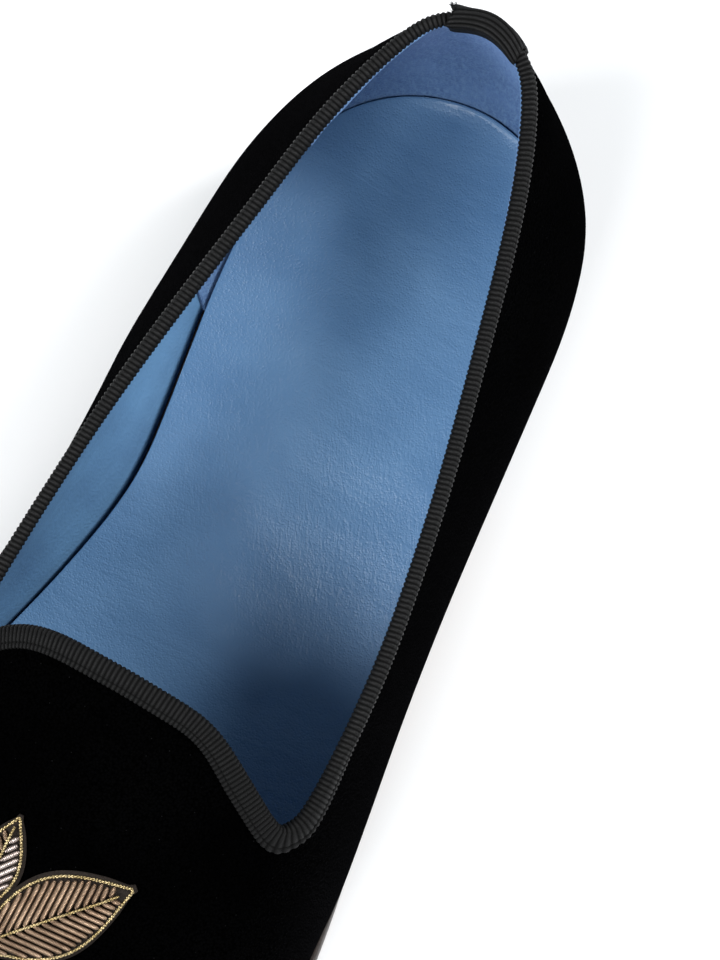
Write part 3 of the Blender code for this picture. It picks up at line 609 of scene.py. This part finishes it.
def ribbon_cloth():
    """Charcoal silk and cotton: painted shade in the matt grooves, a dull gleam and single yarns on the ribs.
    """
    material, tree, shader, place = surface(
        "charcoal ribbon", Roughness=0.6, Specular_IOR_Level=0.10, Sheen_Weight=0.006, Sheen_Roughness=0.4,
        Sheen_Tint=rgb(200, 200, 205))
    cloud, grain = grained(tree, place, 200.0, 4200.0, 0.6)
    shade = blended(tree, reach(tree, cloud, 0.35, 0.7), RIBBON_DARK, RIBBON_LIGHT)
    shade = blended(tree, reach(tree, grain, 0.35, 0.7), shade, RIBBON_YARN)
    # Painted shade from the corners' stored values: dark in the grooves, along the seam line, at the edges
    # and across the throat.
    rib_painted_shade_mask = add(tree, "ShaderNodeAttribute", attribute_name="rib_and_painted_shade").outputs["Fac"]
    shade = blended(tree, reach(tree, rib_painted_shade_mask, 0.15, 0.95), RIBBON_GROOVE_PAINTED_SHADE, shade)
    tree.links.new(shade, shader.inputs["Base Color"])
    tree.links.new(reach(tree, rib_painted_shade_mask, 0.2, 0.9, 0.9, 0.5), shader.inputs["Roughness"])
    bumped(tree, shader, grain, 0.45, 0.0002)
    return material


def store_rib_painted_shades(piece, values):
    """Keep each corner's painted shade, from its height on the rib, for the cloth's colour."""
    piece.data.attributes.new("rib_and_painted_shade", "FLOAT", "POINT").data.foreach_set("value", values)


RIBBON = ribbon_cloth()


def rib_height(phase):
    """How high a rib stands, from 0 in the groove to 1 on the ridge."""
    return (0.5 + 0.5 * math.cos(phase)) ** RIB_ROUNDNESS


def laid_on(tree, place, way, rise):
    """A place moved on to the skin that lies along its way, with the ribbon's clearance and a rise."""
    met = cast(tree, place + way * CAST_REACH, -way, 2 * CAST_REACH)
    return (met[0] if met else place) + way * (rise + RIBBON_CLEARANCE)


def binding():
    """The folded ribbon. Each section climbs the velvet, rounds the edge and comes down on the lining."""
    path = collar_ring()
    ring_places = rounded([place for place, _ in path], 3)
    ring_normals = [normal.normalized() for normal in rounded([normal for _, normal in path], 6)]
    points, normals = even_ring(list(zip(ring_places, ring_normals)), RIB_PITCH / STEPS_A_RIB)
    count = len(points)
    window = STEPS_A_RIB * 2
    runs = [(points[(k + window) % count] - points[k - window]).normalized() for k in range(count)]
    sense = math.copysign(1, sum(run.cross(normal).z for run, normal in zip(runs, normals)))
    verts, rib_painted_shades = [], []
    for k, (edge, normal, run) in enumerate(zip(points, normals, runs)):
        up = run.cross(normal).normalized() * sense
        rib_and_painted_shade = rib_height(k * math.tau * round(count / STEPS_A_RIB) / count)
        proud = RIBBON_BODY + RIB_RISE * rib_and_painted_shade
        loop = SELVAGE_LOOP * rib_and_painted_shade
        at_throat = min(1, max(0, (THROAT_LEG_FROM - edge.y) / THROAT_LEG_RUN))
        # Painted shade: the outer face and crown are darkened across the throat.
        throat_painted_shade = 1 - THROAT_PAINTED_SHADE * at_throat
        leg = RIBBON_SIDE_LEG + (RIBBON_THROAT_LEG - RIBBON_SIDE_LEG) * at_throat
        seam = leg - SEAM_INSET
        # Each corner's painted shade is darker in the grooves, along the seam line and towards the selvage
        # edges.
        for depth, lift in ((leg + loop, 0.2), (leg + loop * 0.5, 0.85), (seam + SEAM_HALF, 0.9),
                            (seam, 0.4), (seam - SEAM_HALF, 1.0), (leg * 0.35, 1.0)):
            verts.append(laid_on(OUTER, edge - up * depth, normal, proud * lift))
            rib_painted_shades.append(rib_and_painted_shade * min(1, lift * 1.1) * throat_painted_shade)
        middle = edge - normal * (COLLAR_WALL / 2)
        crown = RIBBON_CLEARANCE + proud
        for turn in (0.02, 0.27, 0.5, 0.73, 0.98):
            angle = math.pi * turn
            verts.append(middle + normal * (math.cos(angle) * (COLLAR_WALL / 2 + crown))
                         + up * (math.sin(angle) * crown * 1.25))
            rib_painted_shades.append(rib_and_painted_shade * throat_painted_shade)
        for depth, lift in ((RIBBON_INNER_LEG * 0.35, 1.0), (RIBBON_INNER_LEG * 0.7, 1.0),
                            (RIBBON_INNER_LEG, 0.85), (RIBBON_INNER_LEG + loop * 0.4, 0.2)):
            inner_place = edge - up * depth - normal * COLLAR_WALL
            verts.append(laid_on(INNER, inner_place, -normal, proud * lift))
            rib_painted_shades.append(rib_and_painted_shade * min(1, lift * 1.1))
    faces = tube_faces(count, len(verts) // count, True)
    piece = new_piece("ribbon_binding", verts, faces, RIBBON, "topline_binding")
    store_rib_painted_shades(piece, rib_painted_shades)
    return piece


binding_piece = binding()
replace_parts(binding_piece, "topline_binding")

# Heel strip
# A wider length of the same ribbon covers the back seam. It runs from the sole up the heel, folds over the
# binding at the top and ends a little way down inside. One selvage has begun to curl and fray where it folds.
STRIP_HALF = 0.0077
STRIP_ASIDE = 0.0003
STRIP_PITCH = 0.00092
STRIP_COLUMNS = 24
STRIP_STEPS = 150
STEPS_A_STRIP_RIB = 6
STRIP_LOW = 0.0215
STRIP_BODY = 0.00012
STRIP_RISE = 0.00036
SEARCH_FROM = 0.0780
SEARCH_STEP = 0.00025
OVER_BINDING = 0.0010
BINDING_FOOT = 0.0058
STEP_DOWN = 0.0007
STEP_DOWN_RUN = 0.0025
INSIDE_DEPTHS = (0.0048, 0.0036, 0.0024, 0.0012, 0.0004)
FOLD_TURNS = (0.9, 0.75, 0.6, 0.5, 0.4, 0.25, 0.1)
FOLD_LIFT = 0.0011
FOLD_RUN = 0.0098
CURLED_CORNER = 0.0009
CURL_RUN = 0.0035
YARNS = 26
YARN_LEAD = 0.0022
YARN_RADIUS = 0.00007


def on_back(side_place, height):
    """Place and way out on the back of the heel, or None above the velvet's edge."""
    met = cast(OUTER, Vector((side_place, 0.2, height)), Vector((0, -1, 0)), 0.1)
    return (met[0], met[1] if met[1].y > 0 else -met[1]) if met else None


def strip_line(side_place):
    """One lengthwise line of the strip, from inside over the edge to the sole: places, ways out, lifts."""
    heights = (SEARCH_FROM - step * SEARCH_STEP for step in range(200))
    top = next(height for height in heights if on_back(side_place, height))
    outside = []
    for step in range(STRIP_STEPS + 1):
        height = top - 0.0003 - (top - STRIP_LOW) * (step / STRIP_STEPS)
        met = on_back(side_place, height)
        if met:
            down = min(1, max(0, top - height - BINDING_FOOT) / STEP_DOWN_RUN)
            outside.append((*met, OVER_BINDING - down * STEP_DOWN))
    edge_out = outside[0][0]
    inside = []
    for depth in INSIDE_DEPTHS:
        start = Vector((side_place, edge_out.y - 0.012, top - depth))
        met = cast(INNER, start, Vector((0, 1, 0)), 0.02)
        if met:
            inside.append((met[0], met[1] if met[1].y < 0 else -met[1], OVER_BINDING))
    edge_in = inside[-1][0]
    middle = (edge_out + edge_in) / 2
    middle.z = top
    half = (edge_out - edge_in).length / 2
    way = (edge_out - edge_in).normalized()
    up = Vector((0, 0, 1))
    fold = []
    for turn in FOLD_TURNS:
        angle = math.pi * turn
        out = (way * math.cos(angle) + up * math.sin(angle)).normalized()
        fold.append((middle + way * (math.cos(angle) * half) + up * 0.0001, out, FOLD_LIFT))
    return inside + fold + outside


def even_line(line, pitch):
    """Rows at even steps along an open line. A row is a place, its way out and, on the strip, its lift."""
    result = [line[0]]
    travelled, goal = 0.0, pitch
    for first, second in zip(line, line[1:]):
        length = (second[0] - first[0]).length
        while length and travelled + length >= goal:
            share = (goal - travelled) / length
            place = first[0].lerp(second[0], share)
            way = first[1].lerp(second[1], share).normalized()
            lifts = [low + (high - low) * share for low, high in zip(first[2:], second[2:])]
            result.append((place, way, *lifts))
            goal += pitch
        travelled += length
    return result


def sheet_faces(columns, rows):
    """Faces of a thin closed sheet, whose corners run by column, then by row, the back one first."""
    def at(column, row, front):
        return (column * rows + row) * 2 + front

    faces = []
    for column in range(columns):
        for row in range(rows - 1):
            for front in (0, 1):
                faces.append((at(column, row, front), at(column + 1, row, front),
                              at(column + 1, row + 1, front), at(column, row + 1, front)))
        for row in (0, rows - 1):
            faces.append((at(column, row, 0), at(column + 1, row, 0),
                          at(column + 1, row, 1), at(column, row, 1)))
    for column in (0, columns):
        for row in range(rows - 1):
            faces.append((at(column, row, 0), at(column, row + 1, 0),
                          at(column, row + 1, 1), at(column, row, 1)))
    return faces


def heel_strip():
    """The strip over the back seam, with one selvage curled up at the fold. Returns its lines."""
    low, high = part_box("heel_strip")
    centre = (low[0] + high[0]) / 2 + STRIP_ASIDE
    lines = [strip_line(centre + STRIP_HALF * (2 * k / STRIP_COLUMNS - 1)) for k in range(STRIP_COLUMNS + 1)]
    lines = [[(place + way * lift, way, lift) for place, way, lift in line] for line in lines]
    lengths = [sum((b[0] - a[0]).length for a, b in zip(line, line[1:])) for line in lines]
    steps = int(min(lengths) / (STRIP_PITCH / STEPS_A_STRIP_RIB))
    grid = [even_line(line, length / (steps + 0.5)) for line, length in zip(lines, lengths)]
    rows = min(len(line) for line in grid)
    verts, rib_painted_shades = [], []
    for column, line in enumerate(grid):
        across = 2 * column / STRIP_COLUMNS - 1
        thin = 1 - abs(across) ** 14
        curl = max(0, -across - 0.55) / 0.45
        for row in range(rows):
            place, way, lift = line[row]
            rib_and_painted_shade = rib_height(math.tau * row / STEPS_A_STRIP_RIB)
            proud = STRIP_BODY + STRIP_RISE * rib_and_painted_shade * thin
            from_fold = abs(row * STRIP_PITCH / STEPS_A_STRIP_RIB - FOLD_RUN)
            rise = CURLED_CORNER * curl ** 2 * max(0, 1 - from_fold / CURL_RUN)
            verts.append(place + way * (rise * 0.5 - lift * 0.45))
            verts.append(place + way * (rise + proud))
            # Painted shade: the back face is half as light as the front.
            rib_painted_shades += [rib_and_painted_shade * 0.5, rib_and_painted_shade]
    piece = new_piece("ribbon_heel_strip", verts, sheet_faces(STRIP_COLUMNS, rows), RIBBON, "heel_strip")
    store_rib_painted_shades(piece, rib_painted_shades)
    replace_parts(piece, "heel_strip")
    return grid


def walked(line):
    """Each point of a line of (point, way out), with the ways along and across and the distance so far."""
    travelled = 0.0
    for k, (point, way) in enumerate(line):
        before, after = line[max(k - 1, 0)][0], line[min(k + 1, len(line) - 1)][0]
        run = (after - before).normalized()
        if k:
            travelled += (point - line[k - 1][0]).length
        yield point, way, run, run.cross(way).normalized(), travelled


def wire(line, radius, sides=6):
    """Corners, faces and coil coordinates of a round wire along a line of (point, way out)."""
    verts, uvs = [], []
    for k, (point, _, run, across, travelled) in enumerate(walked(line)):
        up = across.cross(run)
        taper = 0.55 if k in (0, len(line) - 1) else 1.0
        for side_number in range(sides):
            angle = math.tau * side_number / sides
            verts.append(point + (across * math.cos(angle) + up * math.sin(angle)) * radius * taper)
            uvs.append((side_number / sides, travelled + side_number / sides * 0.0002))
    faces = tube_faces(len(line), sides, False)
    faces.append(tuple(range(sides))[::-1])
    faces.append(tuple(range(len(verts) - sides, len(verts))))
    return verts, faces, uvs


def joined(name, wires, material, slot):
    """One piece of many wires, each with its coil coordinates."""
    verts, faces, uvs = [], [], []
    for more_verts, more_faces, more_uvs in wires:
        first = len(verts)
        verts += more_verts
        uvs += more_uvs
        faces += [tuple(first + index for index in face) for face in more_faces]
    piece = new_piece(name, verts, faces, material, slot)
    layer = piece.data.uv_layers.new(name="coil")
    for loop in piece.data.loops:
        layer.data[loop.index].uv = uvs[loop.vertex_index]
    return piece


def loose_yarns(edge_line):
    """Short yarn ends that stick out of the strip's selvage where it folds over the top."""
    yarns = []
    for number in range(YARNS):
        row = int((FOLD_RUN - YARN_LEAD) * STEPS_A_STRIP_RIB / STRIP_PITCH + number * 1.1)
        place, way, _ = edge_line[min(row, len(edge_line) - 1)]
        spread = noise.noise(Vector((number * 7.3, 1.7, 0)))
        length = 0.0009 + 0.0007 * abs(noise.noise(Vector((number * 3.1, 9.2, 0))))
        onward = (Vector((-1, 0, 0)) + way * (0.5 + 0.5 * spread) + Vector((0, spread, 0))).normalized()
        bend = way.cross(onward) * (0.0004 * spread)
        start = place + way * (CURLED_CORNER * 0.8) + Vector((0.0003, 0, 0))
        line = [(start + onward * (length * share) + bend * share ** 2, way) for share in (0, 0.35, 0.7, 1)]
        yarns.append(wire(line, YARN_RADIUS, 5))
    loose = joined("loose_yarns", yarns, RIBBON, "heel_strip")
    store_rib_painted_shades(loose, [0.8] * len(loose.data.vertices))


loose_yarns(heel_strip()[0])

# Embroidered sprig
# A leaf sprig is worked in metal thread on charcoal felt, over padding, and sewn to the vamp. Copper bullion
# lies side by side from each leaf's vein to its edge, and a twisted gold cord follows the outline. One side
# of some leaves is laid in a paler rose silver.
SPRIG_FOOT = -0.1155
SPRIG_LENGTH = 0.064
STEM_HALF = 0.0012
LEAF_CLEARANCE = 0.0008
WIRE_PITCH = 0.00112
WIRE_RADIUS = 0.00052
WIRE_LEAN = math.radians(42)
WIRE_LIFT = 0.00028
EDGE_ROOM = 0.0003
CORD_RADIUS = 0.0002
CORD_TWIST = 0.0015
CORD_STEP = 0.0002
VEIN_RADIUS = 0.00018
VEIN_TWIST = 0.0014
FELT_ROWS = 28
FELT_COLUMNS = 6
FELT_MARGIN = 0.0009
PAD_LOW = 0.0007
PAD_RISE = 0.0008
ROSE_LEAVES = (2, 5, 7)
LEAF_LENGTH = 0.029
LEAF_WIDTH = 0.0125
# Each leaf's share along the stem, its side, its turn in degrees and its size.
LEAVES = [
    (0.06, -1, 60, 0.72),
    (0.06, 1, 60, 0.72),
    (0.42, -1, 54, 0.92),
    (0.42, 1, 54, 0.92),
    (0.86, -1, 44, 1.10),
    (0.86, 1, 44, 1.10),
    (0.94, 0, 0, 0.66),
]


def metal_thread(name, light, dark, turns):
    """Coiled wire: bright ridges round each thread, with painted shade between the turns."""
    material, tree, shader, place = surface(name, Metallic=0.85, Roughness=0.36, Specular_IOR_Level=0.5)
    coil = tree.nodes.new("ShaderNodeUVMap")
    split = add(tree, "ShaderNodeSeparateXYZ", {0: coil.outputs[0]})
    turn = add(tree, "ShaderNodeMath", {0: split.outputs["Y"], 1: turns}, operation="MULTIPLY")
    wave = add(tree, "ShaderNodeMath", {0: turn.outputs[0]}, operation="SINE")
    cloud, grain = grained(tree, place, 260.0, 2500.0)
    shade = blended(tree, reach(tree, cloud, 0.3, 0.7), dark, light)
    # Painted shade: dark brown in the gaps between the coil's turns.
    shade = blended(tree, reach(tree, wave.outputs[0], -1.0, 0.1, 0.55, 0.0), shade, (0.03, 0.02, 0.015, 1))
    tree.links.new(shade, shader.inputs["Base Color"])
    tree.links.new(reach(tree, grain, 0.3, 0.7, 0.28, 0.46), shader.inputs["Roughness"])
    bumped(tree, shader, wave.outputs[0], 0.6, 0.0001)
    return material


def felt():
    """Matt charcoal felt."""
    material, tree, shader, place = surface("charcoal felt", Roughness=1.0, Specular_IOR_Level=0.05)
    _, grain = grained(tree, place, 300.0, 2600.0, 0.7)
    tree.links.new(blended(tree, grain, rgb(16, 14, 13), rgb(48, 42, 38)), shader.inputs["Base Color"])
    bumped(tree, shader, grain, 0.8, 0.0003)
    return material


COPPER = metal_thread("copper thread", rgb(172, 146, 122), rgb(126, 102, 82), 22000.0)
ROSE = metal_thread("rose silver thread", rgb(198, 186, 180), rgb(160, 144, 136), 18000.0)
GOLD = metal_thread("gold cord", rgb(196, 178, 136), rgb(152, 132, 86), 9000.0)
FELT = felt()


def on_vamp(side_place, along, lift):
    """Place a distance above the vamp's outer skin, seen from above, with the skin's way out."""
    point, way = cast(OUTER, Vector((side_place, along, 0.2)), Vector((0, 0, -1)), 0.3)
    way = way if way.z > 0 else -way
    return point + way * lift, way


def stem_side(along):
    """Side place of the stem, which follows the vamp's ridge."""
    share = min(1, max(0, (along - SPRIG_FOOT) / SPRIG_LENGTH))
    return -0.0049 - 0.0031 * math.sin(share * math.pi / 2)


class Leaf:
    """Plan and padding of one leaf: share runs from root to tip, across from the vein out."""

    def __init__(self, along, side, turn, size):
        start = SPRIG_FOOT + along * SPRIG_LENGTH
        angle = math.radians(turn) * side
        self.onward = Vector((math.sin(angle), math.cos(angle), 0))
        self.sideways = Vector((math.cos(angle), -math.sin(angle), 0))
        self.root = Vector((stem_side(start) + side * (STEM_HALF + LEAF_CLEARANCE), start, 0))
        self.length = LEAF_LENGTH * size
        self.half = LEAF_WIDTH * size / 2

    def width(self, share):
        """Half width at a share of the length."""
        return self.half * (math.sin(math.pi * min(1, max(0, share))) ** 1.1 * 0.95 + 0.05)

    def place(self, share, across, lift):
        """Point on the leaf's padding. across is in metres."""
        plan = self.root + self.onward * (self.length * share) + self.sideways * across
        wide = max(self.width(share), 0.0004)
        swell = max(0, 1 - abs(across) / wide) * min(1, 5 * share, 5 * (1 - share))
        return on_vamp(plan.x, plan.y, PAD_LOW + PAD_RISE * max(0, swell) + lift)


def felt_leaf(leaf):
    """Closed felt shape a little larger than the leaf, as corners and faces."""
    verts = []
    for column in range(FELT_COLUMNS + 1):
        side = 2 * column / FELT_COLUMNS - 1
        rim = 1 - abs(side) ** 6
        for row in range(FELT_ROWS + 1):
            share = -0.03 + 1.06 * row / FELT_ROWS
            from_tip = min(row, FELT_ROWS - row) / FELT_ROWS
            wide = leaf.width(min(1, max(0, share))) + FELT_MARGIN * min(1, 0.25 + 6 * from_tip)
            plan = leaf.root + leaf.onward * (leaf.length * share) + leaf.sideways * (wide * side)
            for front in (0, 1):
                verts.append(on_vamp(plan.x, plan.y, 0.0001 + front * (0.0004 + 0.0003 * rim))[0])
    return verts, sheet_faces(FELT_COLUMNS, FELT_ROWS + 1)


def leaf_wires(leaf, half):
    """Bullion wires of one half of a leaf, laid from the vein obliquely towards the tip."""
    wires = []
    count = int(leaf.length / (WIRE_PITCH / math.sin(WIRE_LEAN)))
    for number in range(-2, count + 1):
        start = (number + 0.5) / count
        line = []
        for step in range(60):
            run = step * 0.0002
            share = start + run * math.cos(WIRE_LEAN) / leaf.length
            across = run * math.sin(WIRE_LEAN) + EDGE_ROOM
            if not 0.0 < share < 0.985:
                if line:
                    break
                continue
            if across > leaf.width(share) - EDGE_ROOM:
                break
            if step % 3 == 0:
                line.append(leaf.place(share, half * across, WIRE_LIFT))
        if len(line) > 2:
            wires.append(wire(line, WIRE_RADIUS))
    return wires


def twisted(line, radius, pitch):
    """Two strands wound round a line of (point, way out)."""
    strands = []
    for strand in (0, 1):
        path = []
        for point, way, _, across, travelled in walked(line):
            angle = math.tau * travelled / pitch + math.pi * strand
            offset = across * math.cos(angle) + way * math.sin(angle)
            path.append((point + offset * radius * 0.8, way))
        strands.append(wire(path, radius, 5))
    return strands


def outline_of(leaf):
    """Line round the leaf's edge, from its root by the tip and back."""
    shares = [k / 60 for k in range(61)]
    line = [leaf.place(share, leaf.width(share), 0.0002) for share in shares]
    line += [leaf.place(share, -leaf.width(share), 0.0002) for share in shares[::-1]]
    return even_line(line + [line[0]], CORD_STEP)


for number, row in enumerate(LEAVES, 1):
    leaf = Leaf(*row)
    backing = new_piece(f"leaf_{number}_felt", *felt_leaf(leaf), FELT, "sprig_stem")
    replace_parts(backing, f"sprig_leaf_{number}")
    outer_thread = ROSE if number in ROSE_LEAVES else COPPER
    joined(f"leaf_{number}_outer_half", leaf_wires(leaf, 1), outer_thread, "sprig_stem")
    joined(f"leaf_{number}_inner_half", leaf_wires(leaf, -1), COPPER, "sprig_stem")
    vein = even_line([leaf.place(k / 40, 0.0, 0.0006) for k in range(1, 38)], CORD_STEP)
    cords = twisted(outline_of(leaf), CORD_RADIUS, CORD_TWIST) + twisted(vein, VEIN_RADIUS, VEIN_TWIST)
    joined(f"leaf_{number}_cord", cords, GOLD, "sprig_stem")

stem_line = [SPRIG_FOOT + SPRIG_LENGTH * 0.94 * k / 60 for k in range(61)]
stem_wires = []
for offset in (-0.0006, 0.0006):
    stem_wires.append(wire([on_vamp(stem_side(y) + offset, y, 0.0009) for y in stem_line], 0.0006))
joined("stem_threads", stem_wires, COPPER, "sprig_stem")
stem_cords = []
for offset in (-0.0014, 0.0014):
    edge_line = even_line([on_vamp(stem_side(y) + offset, y, 0.0007) for y in stem_line], CORD_STEP)
    stem_cords += twisted(edge_line, CORD_RADIUS, CORD_TWIST)
joined("stem_cords", stem_cords, GOLD, "sprig_stem")
verts, faces = [], []
for y in stem_line:
    for offset, lift in ((-0.0022, 0.0001), (-0.0020, 0.0005), (0.0020, 0.0005), (0.0022, 0.0001)):
        verts.append(on_vamp(stem_side(y) + offset, y, lift)[0])
faces = tube_faces(len(stem_line), 4, False) + [(3, 2, 1, 0), tuple(range(len(verts) - 4, len(verts)))]
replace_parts(new_piece("stem_felt", verts, faces, FELT, "sprig_stem"), "sprig_stem")

# Floor and lights
# The shoe stands on a plain white floor between two soft boxes, one beyond its heel on the outer side and one
# beyond its toe on the inner side, with a weaker one in front of the toe.
FLOOR_DARK = (0.76, 0.76, 0.764, 1)
FLOOR_LIGHT = (0.79, 0.79, 0.794, 1)
SOFTBOX_WIDTH = 0.6
SOFTBOX_AIM = Vector((0, 0.05, 0))
# Each soft box's name, place and power in watts.
SOFTBOXES = [
    ("heel_softbox", (0.81, 0.81, 1.15), 33),
    ("toe_softbox", (-0.81, -0.81, 1.15), 24),
    ("front_softbox", (0.0, -1.15, 1.15), 19),
]
ROOM_SHADE = (0.75, 0.9, 1, 1)
ROOM_STRENGTH = 0.26


def floor():
    """A large plane, a little uneven in its white."""
    bpy.ops.object.select_all(action="DESELECT")
    bpy.ops.mesh.primitive_plane_add(size=6)
    plane = bpy.context.object
    plane.name = "floor"
    material, tree, shader, place = surface("white floor", Roughness=0.9, Specular_IOR_Level=0.1)
    cloud, _ = grained(tree, place, 3.0, 120.0)
    tree.links.new(blended(tree, cloud, FLOOR_DARK, FLOOR_LIGHT), shader.inputs["Base Color"])
    plane.data.materials.append(material)


floor()


def soft_light(name, place, power):
    """A square soft box aimed at the shoe."""
    lamp = bpy.data.lights.new(name, "AREA")
    lamp.shape = "RECTANGLE"
    lamp.size = SOFTBOX_WIDTH
    lamp.size_y = SOFTBOX_WIDTH
    lamp.energy = power
    stand = bpy.data.objects.new(name, lamp)
    way = (Vector(place) - SOFTBOX_AIM).normalized()
    stand.matrix_world = Matrix.Translation(place) @ way.to_track_quat("Z", "Y").to_matrix().to_4x4()
    bpy.context.scene.collection.objects.link(stand)


for softbox in SOFTBOXES:
    soft_light(*softbox)
bpy.context.scene.view_settings.view_transform = "Standard"
room = bpy.data.worlds.new("room")
bpy.context.scene.world = room
room.use_nodes = True
room.node_tree.nodes["Background"].inputs[0].default_value = ROOM_SHADE
room.node_tree.nodes["Background"].inputs[1].default_value = ROOM_STRENGTH

# Camera
# The camera stands above the shoe, a little towards the toe's outer side, and looks steeply down into the
# collar through a long lens. It is turned by a degree about its own line of sight.
SHOT_DISTANCE = 1.1
SHOT_AROUND = math.radians(27.2)
SHOT_UP = math.radians(75.5)
SHOT_ROLL = math.radians(1.0)
SHOT_AIM = Vector((0.01161, 0.06223, 0.020))
SENSOR_WIDTH = 36.0
FOCAL_LENGTH = 276.25
level = math.cos(SHOT_UP)
back = Vector((math.sin(SHOT_AROUND) * level, -math.cos(SHOT_AROUND) * level, math.sin(SHOT_UP)))
side = Vector((math.cos(SHOT_AROUND), math.sin(SHOT_AROUND), 0))
rise = back.cross(side)
right = side * math.cos(SHOT_ROLL) + rise * math.sin(SHOT_ROLL)
over = rise * math.cos(SHOT_ROLL) - side * math.sin(SHOT_ROLL)
lens = bpy.data.cameras.new("shot")
lens.sensor_fit = "HORIZONTAL"
lens.sensor_width = SENSOR_WIDTH
lens.lens = FOCAL_LENGTH
lens.clip_start = 0.05
lens.clip_end = 20
shot = bpy.data.objects.new("shot", lens)
facing = Matrix((right, over, back)).transposed().to_4x4()
shot.matrix_world = Matrix.Translation(SHOT_AIM + back * SHOT_DISTANCE) @ facing
bpy.context.scene.collection.objects.link(shot)
bpy.context.scene.camera = shot
